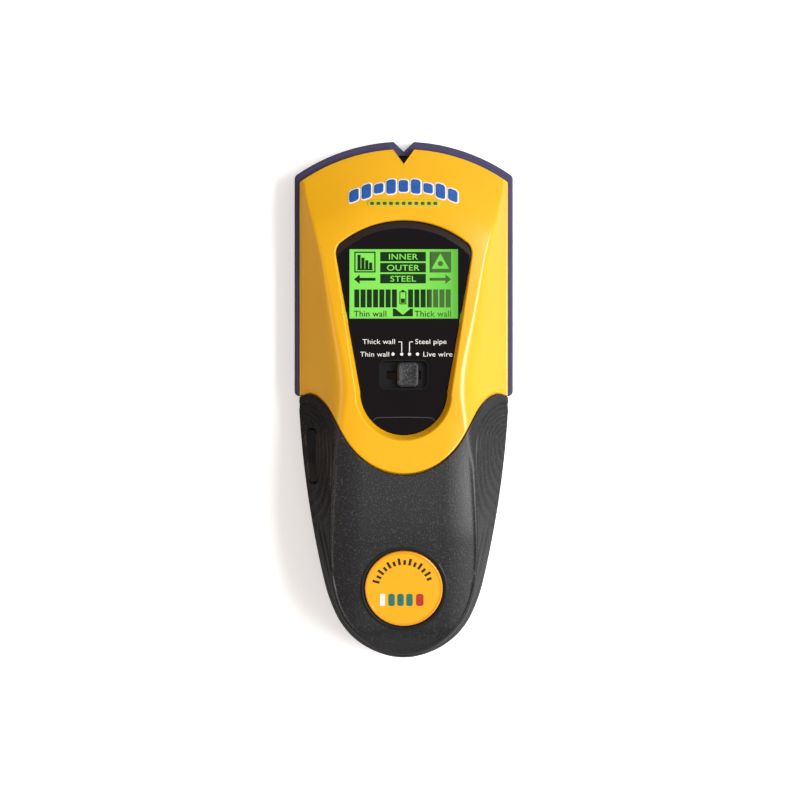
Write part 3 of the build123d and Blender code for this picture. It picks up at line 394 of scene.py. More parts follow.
# Back-printed acrylic window: deep glossy black, faintly violet.
BLACK_ACRYLIC = surface("printed_acrylic", "#0b060a", "#0e080d", 20, 0.3, 0.0005, (0.06, 0.09),
                        Specular_IOR_Level=0.25)
# The bevel round the top of the window: the same acrylic, given a lighter colour as a painted reflection.
BEVEL_ACRYLIC_PAINTED_REFLECTION = surface("bevelled_acrylic_painted_reflection", "#231a1b", "#271d1e", 12, 0.3, 0.001, (0.45, 0.5),
                        Specular_IOR_Level=0.3)
# Knob of black ABS, finely grained on top.
KNOB_ABS = surface("grained_ABS", "#141316", "#18171a", 3, 0.5, 0.06, (0.4, 0.6), speck="#6e6c70")
BLACK_ABS = surface("black_ABS", "#0b0a0c", "#100f11", 8, 0.3, 0.01, (0.3, 0.4), Specular_IOR_Level=0.3)
GREEN_LAMINATE = surface("solder_mask", "#0c4a24", "#0f5a2c", 2.5, 0.3, 0.01, (0.25, 0.4), Coat_Weight=0.3)
NICKEL = surface("nickel", "#c9c8c2", "#b2b1ab", 2, 0.15, 0.006, (0.22, 0.36), Metallic=1.0)
# Switch body steel coloured dark brown: a painted brownish reflection seen through the switch slot.
STEEL_PAINTED_REFLECTION = surface("steel_painted_reflection", "#3b281f", "#2f2019", 2, 0.15, 0.006, (0.2, 0.3), Metallic=0.7)
GOLD_PLATE = surface("gold_plate", "#d7a94b", "#c59638", 2, 0.15, 0.006, (0.22, 0.34), Metallic=1.0)
COPPER_WIRE = surface("enamelled_copper", "#a5481f", "#8a3612", 1, 0.12, 0.03, (0.25, 0.4), Metallic=0.8)
FERRITE = surface("ferrite", "#2c2b2d", "#3d3b3c", 1.5, 0.2, 0.03, (0.6, 0.8))
SILICONE = surface("silicone", "#2d2d31", "#3a3a3f", 4, 0.3, 0.01, (0.6, 0.75))
FOAM = surface("foam", "#26262a", "#3a3a40", 1.5, 0.6, 0.2, (0.85, 0.95))
CLEAR_ACRYLIC = surface("light_guide_acrylic", "#dff0d8", "#cfe6c8", 10, 0.4, 0.001, (0.15, 0.2),
                        Transmission_Weight=0.4)
LCD_GLASS = surface("lcd_rear_glass", "#7c8f72", "#74876a", 10, 0.4, 0.001, (0.1, 0.15))
WHITE_NYLON = surface("white_nylon", "#dedcd4", "#d2d0c8", 5, 0.3, 0.01, (0.4, 0.5))
BATTERY_JACKET = surface("battery_jacket", "#39424f", "#2f3742", 8, 0.3, 0.004, (0.25, 0.35), Metallic=0.5)
PAPER_LABEL = surface("label_film", "#c9cacd", "#bfc0c4", 6, 0.25, 0.004, (0.4, 0.5))
RED_PVC = surface("red_PVC", "#a3120f", "#b51a14", 3, 0.3, 0.01, (0.4, 0.5))
BLACK_PVC = surface("black_PVC", "#161616", "#202020", 3, 0.3, 0.01, (0.4, 0.5))
LED_EPOXY = surface("led_epoxy", "#d8e6b8", "#c9dca4", 2, 0.3, 0.002, (0.15, 0.2))
# Printed inks: slightly raised, matt and a touch uneven.
WHITE_INK = surface("white_ink", "#e8e7e4", "#dddcd8", 2, 0.2, 0.003, (0.5, 0.6))
BROW_INK = surface("moulded_line", "#3d353b", "#362f34", 2, 0.2, 0.003, (0.3, 0.4))
BLUE_INK = surface("blue_ink", "#1b58a8", "#174d98", 2, 0.2, 0.003, (0.45, 0.55))
LIME_INK = surface("lime_ink", "#cdb51c", "#c6ae18", 2, 0.2, 0.003, (0.45, 0.55))
GREEN_INK = surface("green_ink", "#2c5a14", "#285212", 2, 0.2, 0.003, (0.45, 0.55))
BLACK_INK = surface("black_ink", "#15120f", "#201b16", 2, 0.2, 0.003, (0.45, 0.55))
RED_INK = surface("red_ink", "#b5301c", "#a32816", 2, 0.2, 0.003, (0.45, 0.55))
TEAL_INK = surface("teal_ink", "#1c7263", "#176557", 2, 0.2, 0.003, (0.45, 0.55))
YELLOW_LABEL = surface("badge_enamel", "#eeaa08", "#eba607", 12, 0.4, 0.002, (0.3, 0.38), Coat_Weight=0.3)
# Rim of the badge: the enamel in a darker orange, a painted shade line round the disc.
BADGE_RIM_PAINTED_SHADE = surface("badge_rim", "#e39a10", "#de940e", 8, 0.3, 0.002, (0.22, 0.3), Coat_Weight=0.4)


def backlit_glass():
    """Back-lit LCD: bright green that dims towards the right edge, in soft uneven patches."""
    material = bpy.data.materials.new("backlit_LCD")
    material.use_nodes = True
    tree = material.node_tree
    tree.nodes.clear()
    place = add(tree, "ShaderNodeTexCoord").outputs["Object"]
    axes = add(tree, "ShaderNodeSeparateXYZ", Vector=place)
    fade = add(tree, "ShaderNodeMapRange", {"From Min": 4 * MM, "From Max": 19 * MM},
               Value=axes.outputs["X"])
    mottle = add(tree, "ShaderNodeTexNoise", {"Scale": 300.0, "Detail": 2.0}, Vector=place)
    level = add(tree, "ShaderNodeMath", {"operation": "MULTIPLY_ADD", 1: 0.12}, Value=mottle.outputs["Fac"])
    tree.links.new(fade.outputs["Result"], level.inputs[2])
    ramp = add(tree, "ShaderNodeMix", {"data_type": "RGBA", 6: colour("#8fef5c"), 7: colour("#6ccc45")},
               Factor=level.outputs[0])
    finish = add(tree, "ShaderNodeBsdfPrincipled",
                 {"Base Color": colour("#24591a"), "Roughness": 0.25, "Emission Strength": 0.85},
                 Emission_Color=ramp.outputs[2])
    add(tree, "ShaderNodeOutputMaterial", Surface=finish.outputs[0])
    return material


def lcd_ink_painted_reflection():
    """Dark LCD segments with a painted reflection: they turn pale and low in contrast towards the right
    edge.
    """
    material = surface("lcd_segment", "#06230a", "#0a2d0c", 3, 0.3, 0.001, (0.3, 0.4),
                       Specular_IOR_Level=0.2)
    tree = material.node_tree
    place = add(tree, "ShaderNodeTexCoord").outputs["Object"]
    axes = add(tree, "ShaderNodeSeparateXYZ", Vector=place)
    # painted reflection: from 8 to 10 mm right of centre the segments' emission turns from dark to pale
    # green
    fade = add(tree, "ShaderNodeMapRange", {"From Min": 8.0 * MM, "From Max": 10.0 * MM},
               Value=axes.outputs["X"])
    shader = next(n for n in tree.nodes if n.type == "BSDF_PRINCIPLED")
    shader.inputs["Emission Strength"].default_value = 0.7
    glow = add(tree, "ShaderNodeMix", {"data_type": "RGBA", 6: colour("#041504"), 7: colour("#557f3c")},
               Factor=fade.outputs["Result"])
    tree.links.new(glow.outputs[2], shader.inputs["Emission Color"])
    return material


LCD_GREEN = backlit_glass()
# Segment ink, with a painted reflection on its right side.
SEGMENT_PAINTED_REFLECTION = lcd_ink_painted_reflection()

CAD_LOOKS = {
    "rear_housing": VIOLET_ABS, "lcd_front_glass": LCD_GREEN,
    "lcd_rear_glass": LCD_GLASS, "light_guide": CLEAR_ACRYLIC, "lcd_holder": BLACK_ABS,
    "backlight_leds": LED_EPOXY, "zebra_strip": SILICONE, "main_board": GREEN_LAMINATE,
    "board_screws": NICKEL,
    "microcontroller": FERRITE, "microcontroller_legs": NICKEL, "chip_parts": FERRITE,
    "electrolytic_capacitor": BATTERY_JACKET, "crystal": NICKEL, "switch_bezel": BLACK_ABS,
    # the slide switch body's dark brown is a painted reflection
    "slide_switch_body": STEEL_PAINTED_REFLECTION, "slide_switch_actuator": BLACK_ABS, "slide_switch_pins": NICKEL,
    "push_switch_plunger": BLACK_ABS, "push_switch_body": BLACK_ABS, "sensor_board": GREEN_LAMINATE,
    "sensor_plates": GOLD_PLATE, "coil_bobbin": WHITE_NYLON, "coil_winding": COPPER_WIRE,
    "ferrite_core": FERRITE, "buzzer": BLACK_ABS, "link_socket": WHITE_NYLON, "link_pins": GOLD_PLATE,
    "battery_case": BATTERY_JACKET, "battery_terminals": NICKEL, "snap_contacts": NICKEL,
    "snap_plate": BLACK_ABS, "battery_pad": FOAM, "battery_door": VIOLET_ABS, "case_screws": NICKEL,
    "rear_label": PAPER_LABEL, "lead_red": RED_PVC, "lead_black": BLACK_PVC,
}
for node, look in CAD_LOOKS.items():
    for slot in bpy.data.objects[node].material_slots:
        slot.material = look

# ------------------------------------------------------------------ yellow front housing
LENS_TOP_HALF, LENS_UP, LENS_CORNER_UP = 23.9, 37.3, 27.8
LENS_FOOT, LENS_FOOT_RADIUS = -22.3, 15.0
LENS_ARCH = (LENS_TOP_HALF**2 + (LENS_UP - LENS_CORNER_UP)**2) / (2 * (LENS_UP - LENS_CORNER_UP))


def lens_loop(grow):
    """Window outline in display coordinates, counter-clockwise from the foot's lowest point."""
    corner = np.array([LENS_TOP_HALF, LENS_CORNER_UP])
    side = np.array([LENS_FOOT_RADIUS, LENS_FOOT]) - corner
    side /= np.hypot(*side)
    top = np.array([0, LENS_UP - LENS_ARCH])
    out = (corner - top) / np.hypot(*(corner - top))
    along = np.array([-out[1], out[0]])
    reach = 3.0
    start, end = corner + side * reach, corner + along * reach
    t = np.linspace(0, 1, 16)[:, None]
    bend = (1 - t)**2 * start + 2 * t * (1 - t) * corner + t**2 * end
    first = math.degrees(math.atan2(end[1] - top[1], end[0]))
    right = np.concatenate([
        arc((0, LENS_FOOT), LENS_FOOT_RADIUS, -90, 0, 50)[:-1],
        line((LENS_FOOT_RADIUS, LENS_FOOT), start, 60)[:-1],
        bend[:-1],
        arc(top, LENS_ARCH, first, 90, 50),
    ])
    left = right[::-1][1:-1] * [-1, 1]
    return inset_loop(np.concatenate([right, left]), -grow)


def ray_hits(loop, centre, angles):
    """Where rays from a centre meet a loop that each ray crosses once."""
    p = loop - centre
    bearing = np.unwrap(np.arctan2(p[:, 1], p[:, 0]))
    order = np.argsort(np.mod(bearing - angles[0], 2 * math.pi))
    p, bearing = p[order], np.mod(bearing[order] - angles[0], 2 * math.pi)
    p = np.concatenate([p[-1:], p, p[:1]])
    bearing = np.concatenate([bearing[-1:] - 2 * math.pi, bearing, bearing[:1] + 2 * math.pi])
    want = angles - angles[0]
    i = np.clip(np.searchsorted(bearing, want, side="right") - 1, 0, len(p) - 2)
    a, b = p[i], p[i + 1]
    ray = np.stack([np.cos(angles), np.sin(angles)], 1)
    edge = b - a
    reach = (a[:, 0] * edge[:, 1] - a[:, 1] * edge[:, 0]) / (ray[:, 0] * edge[:, 1] - ray[:, 1] * edge[:, 0])
    return centre + ray * reach[:, None]


def outer_loop():
    """Plan outline of the yellow housing: grip boundary, straight sides, arched head with its notch."""
    keep = BOUNDARY[(np.abs(BOUNDARY[:, 0]) < SIDE)]
    top_y = ARC_CENTRE + math.sqrt(ARC_RADIUS**2 - SIDE**2)
    mouth = 3.7
    start = math.degrees(math.acos(SIDE / ARC_RADIUS))
    end = math.degrees(math.acos(mouth / ARC_RADIUS))
    right = np.concatenate([
        line((SIDE, keep[-1][1]), (SIDE, top_y), 80)[:-1],
        arc((0, ARC_CENTRE), ARC_RADIUS, start, end, 60)[:-1],
        line((mouth, ARC_CENTRE + math.sqrt(ARC_RADIUS**2 - mouth**2)), (0, HEAD - 8), 12),
    ])
    return np.concatenate([keep, right, right[::-1][1:] * [-1, 1]])


def rows_between(inner, outer, count):
    """Grid rows from one loop to another, closer together near both."""
    u = np.linspace(0, 1, count)
    t = (u - 0.11 * np.sin(2 * math.pi * u))[:, None, None]
    return inner[None] * (1 - t) + outer[None] * t


def heights(grid, lift=0.0):
    """Rows of plan points with their skin height, worked out a row at a time."""
    z = np.array([skin(row[:, 0], row[:, 1]) for row in grid]) + lift
    return np.concatenate([grid, z[..., None]], -1)


def yellow_housing():
    """Ring of surface between the window and the outer outline.

    Height is the smaller of skin(x, y) and the scoop's wall, display_z(y) + SCOOP_SLOPE * distance
    from the window. Both edges turn down into short skirts.
    """
    centre = np.array([0, DISPLAY_Y - 5.0])
    window = lens_loop(0.15)
    window = np.stack([window[:, 0], DISPLAY_Y + window[:, 1] * math.cos(TILT)], 1)
    outline = outer_loop()
    key = np.arctan2(*(outline[np.abs(outline[:, 0]) < 0.01] - centre).T[::-1])
    corner = np.arctan2(*(outline[np.isclose(np.abs(outline[:, 0]), SIDE)] - centre).T[::-1])
    mouth = np.array([math.atan2(ARC_CENTRE + 63.09 - centre[1], x) for x in (-3.7, 3.7)])
    angles = np.linspace(-math.pi, math.pi, 721)[:-1]
    angles = np.unique(np.concatenate([angles, key, corner[[0, -1]], mouth]))
    inner = ray_hits(window, centre, angles)
    outer = ray_hits(outline, centre, angles)
    ray = (outer - centre) / np.hypot(*(outer - centre).T)[:, None]
    rim = outer - ray * 0.6
    grid = rows_between(inner, rim, 104)
    run = np.roll(inner, -1, 0) - np.roll(inner, 1, 0)
    normal = np.stack([run[:, 1], -run[:, 0]], 1) / np.hypot(*run.T)[:, None]
    away = ((grid - inner[None]) * normal[None]).sum(-1)
    top = heights(grid)
    scoop = display_z(grid[..., 1]) - 0.05 + SCOOP_SLOPE * away
    top[..., 2] = smooth_min(top[..., 2], scoop, 0.7)

    at_grip = 1 - smooth_step(np.abs(outer[:, 0]), 30, 33)
    at_grip = at_grip * (outer[:, 1] < SHOULDER + 3)
    rows = []
    for turn in (30, 60, 90):
        a = math.radians(turn)
        ring = outer + (rim - outer) * (1 - math.sin(a))
        z = skin(rim[:, 0], rim[:, 1]) - 0.45 * (1 - math.cos(a))
        rows.append(np.column_stack([ring, z]))
    deep = np.maximum(rows[-1][:, 2] - 1.8, PARTING)
    deep = np.where(outer[:, 1] > HEAD - 25, PARTING, deep)
    rows.append(np.column_stack([outer, deep]))
    ledge = outer + ray * 1.2 * at_grip[:, None]
    rows.append(np.column_stack([ledge, deep - 0.05]))
    lip = np.column_stack([inner, display_z(inner[:, 1]) - 1.4])
    grid3 = np.concatenate([lip[None], top, np.array(rows)])
    return grid_mesh("front_housing_skin", grid3, YELLOW_ABS, "case", closed=True, smooth=42,
                     stands_for=("front_housing",), thickness=1.2)


yellow_housing()


# ------------------------------------------------------------------ grip
BUTTON_HALF = (high("power_button")[1] - low("power_button")[1]) / 2, 3.5
BUTTON_CORNER = 2.0
POCKET_ROOM = 0.55              # from the button's outline to the middle of the pocket's wall
POCKET_DEPTH = 1.9
LEFT_FACE = -20                 # the grip's left side lies beyond this x


def button_distance(y, z):
    """Distance outside the power button's rounded outline, seen from the side; negative inside it."""
    dy = np.abs(y - BUTTON_Y) - (BUTTON_HALF[0] - BUTTON_CORNER)
    dz = np.abs(z - BUTTON_Z) - (BUTTON_HALF[1] - BUTTON_CORNER)
    return np.hypot(np.maximum(dy, 0), np.maximum(dz, 0)) + np.minimum(np.maximum(dy, dz), 0) - BUTTON_CORNER


def grip_relief(x, y, distance, side_z):
    """Height of the moulded relief on the grip, in millimetres along the surface's normal.

    Ovals 1.3 mm apart round the middle of each ear, two long lines under them, a soft ridge on the
    crest, and two fine lines round the tail.
    """
    middle = SHOULDER - 15.0
    reach = np.where(y > middle, 12.7, 30.0)
    oval = np.hypot(distance, (y - middle) * 10.3 / reach)
    wave = (0.5 + 0.5 * np.cos(2 * math.pi * (oval - 10.3) / 1.3))**2
    ears = smooth_step(distance, 0.2, 1.2) * wave * (1 - smooth_step(oval, 10.7, 10.95))
    ears = ears * smooth_step(oval, 0.8, 1.6)
    lines = (0.5 + 0.5 * np.cos(2 * math.pi * (distance - 2.2) / 1.5))**3
    band = smooth_step(distance, 1.4, 1.6) * (1 - smooth_step(distance, 4.4, 4.6))
    lines = lines * band * smooth_step(y, TAIL + 20, TAIL + 34)
    lines = lines * (1 - smooth_step(y, SHOULDER - 52, SHOULDER - 40))
    ridge = np.exp(-((side_z - crown(y)) / 2.6)**2) * (1 - smooth_step(y, SHOULDER - 26, SHOULDER - 16))
    tail = np.exp(-((distance - 0.9) / 0.2)**2) * (1 - smooth_step(y, TAIL + 22, TAIL + 34))
    return 0.4 * ridge - 0.42 * ears - 0.4 * lines - 0.3 * tail


def badge_reach(x, y):
    """Distance from the badge's axis, along the badge's face."""
    return np.hypot(x, (y - BADGE_Y) / math.cos(BADGE_TILT))


def grip_cover():
    """Coons patch between the yellow boundary, both side outlines and the tail.

    Height is skin(x, y). The relief then moves each point along the normal, and the button's pocket
    and the badge's seat are sunk into it.
    """
    u = np.linspace(0, 1, 331)
    u = u - 0.5 * np.sin(2 * math.pi * u) / (2 * math.pi)
    v = np.linspace(0, 1, 291)
    v = 0.35 * v + 0.65 * v**1.5
    boundary = BOUNDARY[np.abs(BOUNDARY[:, 0]) < EAR - 0.02]
    boundary = boundary - [0, 0.42]
    tail_end = 21
    side = RIGHT_SIDE[tail_end:][::-1]
    side = np.concatenate([[boundary[-1]], side[side[:, 1] < boundary[-1][1] - 0.3]])
    bottom = np.concatenate([RIGHT_SIDE[:tail_end + 1][::-1] * [-1, 1], RIGHT_SIDE[1:tail_end + 1]])

    def resample(curve, t):
        along = np.concatenate([[0], np.cumsum(np.hypot(*np.diff(curve, axis=0).T))])
        return np.stack([np.interp(t * along[-1], along, curve[:, axis]) for axis in (0, 1)], 1)

    top, low_edge = resample(boundary, u), resample(bottom, u)
    right = resample(side, v)
    left = right * [-1, 1]
    a, b = u[None, :, None], v[:, None, None]
    plan = (1 - b) * top[None] + b * low_edge[None] + (1 - a) * left[:, None] + a * right[:, None]
    plan = plan - ((1 - a) * (1 - b) * top[0] + a * (1 - b) * top[-1]
                   + (1 - a) * b * low_edge[0] + a * b * low_edge[-1])
    grid = heights(plan)
    distance = np.array([wall_distance(row[:, 0], row[:, 1]) for row in plan])
    x, y, z = np.moveaxis(grid, -1, 0)
    side_z = PARTING + distance / LEAN(y)
    gap = np.hypot(*np.moveaxis(plan - top[None], -1, 0))
    lip = (1 - smooth_step(gap, 1.9, 2.4)) * smooth_step(np.abs(x), 22, 26)
    relief = grip_relief(x, y, distance, side_z) * (1 - lip) + 0.25 * lip
    on_left = x < LEFT_FACE
    pocket = POCKET_ROOM - button_distance(y, z)
    relief = relief * (1 - smooth_step(pocket, -1.6, -0.2) * on_left)
    normal = grid_normals(grid)
    grid = grid + normal * relief[..., None]
    grid[..., 0] += POCKET_DEPTH * smooth_step(pocket, -0.15, 0.15) * on_left
    seat = 1 - smooth_step(badge_reach(x, y), BADGE_RADIUS + 0.5, BADGE_RADIUS + 1.5)
    grid[..., 2] -= 1.5 * seat
    roll = np.clip(1 - gap / 0.6, 0, 1)
    grid[..., 2] -= 0.6 * (1 - np.sqrt(np.clip(1 - roll**2, 0, 1)))
    skirt = grid[:1].copy()
    skirt[..., 2] = np.maximum(skirt[..., 2] - 1.2, PARTING)
    grid = np.concatenate([skirt, grid])
    pocket = np.concatenate([pocket[:1], pocket])
    faces = np.array(upward(grid.reshape(-1, 3), grid_faces(*grid.shape[:2])))
    deep = (pocket > 0.3).ravel() & (grid[..., 0] < LEFT_FACE).ravel()
    faces = faces[~deep[faces].all(1)]
    make_mesh("grip_cover", grid.reshape(-1, 3), faces.tolist(), GRIP_TPE, "case", smooth=50,
              stands_for=("grip_overmould",), thickness=0.9)


def badge_ring():
    """Smooth lip round the badge: rings about the badge's axis that follow the skin."""
    angles = np.radians(np.arange(0, 360, 1.5))
    profile = [(0.35, -1.6), (0.35, -0.5), (0.42, -0.15), (0.6, 0.03), (0.9, 0.1), (1.3, 0.08), (1.7, 0.02),
               (2.0, -0.2)]
    rings = []
    for out, lift in profile:
        r = BADGE_RADIUS + out
        x, y = r * np.cos(angles), BADGE_Y + r * np.sin(angles) * math.cos(BADGE_TILT)
        rings.append(np.stack([x, y, skin(x, y) + lift], 1))
    grid_mesh("badge_ring", np.array(rings), GRIP_SMOOTH, "case", closed=True,
              stands_for=("grip_overmould",), thickness=0.5)


grip_cover()
badge_ring()


# ------------------------------------------------------------------ power button
def wall_x(y, z):
    """Where the left side wall stands at each height: skin(x, y) = z, found by halving."""
    near, far = np.full_like(y, -39.0), np.full_like(y, -16.0)
    for _ in range(26):
        x = (near + far) / 2
        below = skin(x, y) < z
        near, far = np.where(below, x, near), np.where(below, far, x)
    return (near + far) / 2


def power_button():
    """Rounded patch that follows the side wall, with a turned edge and three raised bars."""
    loop = rounded_rectangle(2 * BUTTON_HALF[0], 2 * BUTTON_HALF[1], BUTTON_CORNER, 12)
    rings = [(0.0, 0.45), (0.0, 0.3), (0.1, 0.15), (0.3, 0.04), (0.55, 0.0)]
    grid = []
    for inset, depth in rings:
        flat = inset_loop(loop, inset)
        y, z = BUTTON_Y + flat[:, 0], BUTTON_Z + flat[:, 1]
        grid.append(np.stack([wall_x(y, z) + depth, y, z], 1))
    flat = inset_loop(loop, 0.55)
    for scale in np.linspace(0.97, 0.02, 40):
        y, z = BUTTON_Y + flat[:, 0] * scale, BUTTON_Z + flat[:, 1] * scale
        bars = np.exp(-((np.abs(np.mod(flat[:, 0] * scale + 1.25, 2.5) - 1.25)) / 0.35)**2)
        bars = bars * (np.abs(flat[:, 0] * scale) < 3.6) * (np.abs(flat[:, 1] * scale) < 2.1)
        grid.append(np.stack([wall_x(y, z) - 0.18 * bars, y, z], 1))
    grid = np.array(grid)
    points = grid.reshape(-1, 3)
    faces = grid_faces(*grid.shape[:2], True)
    quads = points[faces]
    normal_x = np.cross(quads[:, 2] - quads[:, 0], quads[:, 3] - quads[:, 1])[:, 0].sum()
    faces = faces if normal_x < 0 else faces[:, ::-1]
    make_mesh("power_key", points, faces.tolist(), GRIP_SMOOTH, "power_button", smooth=50,
              stands_for=("power_button",), thickness=0.3)


power_button()

# ------------------------------------------------------------------ window
SLOT_UP = -16.35
SLOT = (16.4 + 0.8, 9.6 + 0.8)  # the slot and its rim
BEVEL_WIDTH = 2.5
BEVEL_FROM = 10                 # the bevel is only above this height
LCD_UP = 15.3
VIEW = (37.7, 24.1)


def window():
    """Ring from the switch slot to the window's outline.

    The top arch falls away in a bevel 2.5 mm wide. A fine raised brow crosses the foot.
    """
    outline = lens_loop(0.0)
    slot = rounded_rectangle(*SLOT, 2.4, 16) + [0, SLOT_UP]
    centre = np.array([0, SLOT_UP])
    angles = np.linspace(-math.pi, math.pi, 601)[:-1]
    inner, outer = ray_hits(slot, centre, angles), ray_hits(outline, centre, angles)
    plan = rows_between(inner, inset_loop(outer, 0.2), 120)
    x, up = plan[..., 0], plan[..., 1]
    from_arch = LENS_ARCH - np.hypot(x, up - (LENS_UP - LENS_ARCH))
    brow = np.abs(up + 31.9 + 0.012 * x**2)
    ends = smooth_step(x, -11.2, -10.2) * (1 - smooth_step(x, 10.2, 11.2))
    lift = -0.38 * np.maximum(BEVEL_WIDTH - from_arch, 0) * (up > BEVEL_FROM)
    lift = lift + 0.1 * np.exp(-(brow / 0.28)**2) * ends
    top = np.stack([x, up, lift], -1)
    skirt = np.concatenate([outer, np.full((len(outer), 1), -0.2)], 1)
    skirt[:, 2] += top[-1, :, 2]
    wall = skirt + [0, 0, -1.2]
    slot_wall = np.concatenate([inner, np.full((len(inner), 1), -1.9)], 1)
    grid = np.concatenate([slot_wall[None], top, skirt[None], wall[None]])
    placed = on_display(grid.reshape(-1, 3))
    faces = np.array(upward(placed, grid_faces(*grid.shape[:2], True)))
    flat = grid.reshape(-1, 3)[faces].mean(1)
    return placed, faces, flat


def lens_material():
    """Printed acrylic that is clear over the display and black everywhere else."""
    material = BLACK_ACRYLIC.copy()
    material.name = "window_acrylic"
    tree = material.node_tree
    place = add(tree, "ShaderNodeTexCoord").outputs["Object"]
    axes = add(tree, "ShaderNodeSeparateXYZ", Vector=place)
    across = add(tree, "ShaderNodeMath", {"operation": "ABSOLUTE"}, Value=axes.outputs["X"])
    in_x = add(tree, "ShaderNodeMath", {"operation": "LESS_THAN", 1: VIEW[0] / 2 * MM},
               Value=across.outputs[0])
    middle = (DISPLAY_Y + LCD_UP * math.cos(TILT)) * MM
    along = add(tree, "ShaderNodeMath", {"operation": "SUBTRACT", 1: middle}, Value=axes.outputs["Y"])
    off = add(tree, "ShaderNodeMath", {"operation": "ABSOLUTE"}, Value=along.outputs[0])
    in_y = add(tree, "ShaderNodeMath", {"operation": "LESS_THAN", 1: VIEW[1] / 2 * MM}, Value=off.outputs[0])
    clear = add(tree, "ShaderNodeMath", {"operation": "MULTIPLY"}, Value=in_x.outputs[0])
    tree.links.new(in_y.outputs[0], clear.inputs[1])
    solid = add(tree, "ShaderNodeMath", {"operation": "SUBTRACT", 0: 1.0})
    tree.links.new(clear.outputs[0], solid.inputs[1])
    shader = next(n for n in tree.nodes if n.type == "BSDF_PRINCIPLED")
    tree.links.new(solid.outputs[0], shader.inputs["Alpha"])
    return material


def window_cover():
    """The window's face as one mesh with two materials: printed face, and bevelled arch in a lighter acrylic
    that is a painted reflection.
    """
    placed, faces, flat = window()
    piece = make_mesh("window_face", placed, faces.tolist(), lens_material(), "case", smooth=25,
                      stands_for=("window_lens",))
    # second material: the arch's bevel in a lighter acrylic, a painted reflection
    piece.data.materials.append(BEVEL_ACRYLIC_PAINTED_REFLECTION)
    depth = LENS_ARCH - np.hypot(flat[:, 0], flat[:, 1] - (LENS_UP - LENS_ARCH))
    bevel = ((depth < BEVEL_WIDTH) & (flat[:, 1] > BEVEL_FROM)).astype(np.int32)
    piece.data.polygons.foreach_set("material_index", bevel)
    piece.data.update()


window_cover()


def gasket():
    """Thin strip under the window's edge, with a square section."""
    inner, outer = lens_loop(-0.75), lens_loop(-0.05)
    corners = [(outer, -2.0), (inner, -2.0), (inner, -2.5), (outer, -2.5), (outer, -2.0)]
    grid = np.array([np.column_stack([loop, np.full(len(loop), proud)]) for loop, proud in corners])
    placed = on_display(grid.reshape(-1, 3))
    faces = grid_faces(*grid.shape[:2], True)[:, ::-1]
    make_mesh("gasket_strip", placed, faces.tolist(), SILICONE, "case",
              stands_for=("lens_gasket",))


gasket()

# ------------------------------------------------------------------ mode knob
KNOB_X = (low("mode_knob")[0] + high("mode_knob")[0]) / 2


def knob():
    """Rounded block with a cupped, grained top and an upright face on its left."""
    loop = rounded_rectangle(7.6, 8.7, 1.6, 12)
    rings = [(0.0, -2.3), (0.0, 0.25), (0.12, 0.55), (0.35, 0.78), (0.65, 0.88), (0.9, 0.9)]
    grid = [np.column_stack([inset_loop(loop, inset), np.full(len(loop), up)]) for inset, up in rings]
    base = inset_loop(loop, 0.9)
    for scale in np.linspace(0.96, 0.02, 24):
        grid.append(np.column_stack([base * scale, np.full(len(base), 0.9 - 0.25 * (1 - scale**2))]))
    grid = np.array(grid)
    placed = on_display(grid.reshape(-1, 3) + [KNOB_X, SLOT_UP, 0]).reshape(grid.shape)
    grid_mesh("knob_top", placed, KNOB_ABS, "mode_knob", closed=True, smooth=35, stands_for=("mode_knob",))


knob()


# ------------------------------------------------------------------ flat prints
def print_shape(name, loops, place, material, body="case", thickness=0.05, height=0.02):
    """Thin printed shapes: each plan loop becomes a flat plate, placed on its surface."""
    points, faces = [], []
    for loop in loops:
        loop = np.asarray(loop, float)
        area = (loop[:, 0] * np.roll(loop[:, 1], -1) - loop[:, 1] * np.roll(loop[:, 0], -1)).sum()
        loop = loop if area > 0 else loop[::-1]
        start, n = sum(len(p) for p in points), len(loop)
        points.append(np.column_stack([loop, np.full(n, height)]))
        points.append(np.column_stack([loop, np.full(n, height - thickness)]))
        top, under = np.arange(start, start + n), np.arange(start + n, start + 2 * n)
        sides = np.stack([under, np.roll(under, -1), np.roll(top, -1), top], 1).tolist()
        faces += [top.tolist(), under[::-1].tolist()] + sides
    return make_mesh(name, place(np.concatenate(points)), faces, material, body, smooth=20)


def box_loop(x0, y0, x1, y1):
    """Rectangle between two corners."""
    return np.array([(x0, y0), (x1, y0), (x1, y1), (x0, y1)], float)


def disc_loop(x, y, radius, count=28):
    """Circle about a point."""
    return arc((x, y), radius, 0, 360 * (1 - 1 / count), count)


def frame_loops(x0, y0, x1, y1, width):
    """Four bars that outline a rectangle."""
    return [box_loop(x0, y0, x1, y0 + width), box_loop(x0, y1 - width, x1, y1),
            box_loop(x0, y0 + width, x0 + width, y1 - width),
            box_loop(x1 - width, y0 + width, x1, y1 - width)]


def words(name, entries, place, material, height=0.02, bold=0.0, stretch=1.15):
    """Plain words as one thin mesh: (text, x, y, cap height, alignment) each."""
    meshes = []
    for text, x, y, size, align in entries:
        curve = bpy.data.curves.new(name, "FONT")
        curve.body = text
        curve.size = size / 0.7
        curve.align_x = align
        curve.offset = bold
        curve.extrude = 0.02
        curve.space_character = 1.04
        item = bpy.data.objects.new(name, curve)
        mesh = bpy.data.meshes.new_from_object(item)
        flat = np.empty(len(mesh.vertices) * 3)
        mesh.vertices.foreach_get("co", flat)
        flat = flat.reshape(-1, 3) * [stretch, 1, 1] + [x, y, height]
        faces = [list(p.vertices) for p in mesh.polygons]
        meshes.append((flat, faces))
        bpy.data.objects.remove(item)
        bpy.data.meshes.remove(mesh)
    starts = np.cumsum([0] + [len(flat) for flat, _ in meshes])
    points = place(np.concatenate([flat for flat, _ in meshes]))
    faces = [[i + start for i in face] for (_, group), start in zip(meshes, starts) for face in group]
    return make_mesh(name, points, faces, material, "case", smooth=20)


LCD_TOP = -2.6


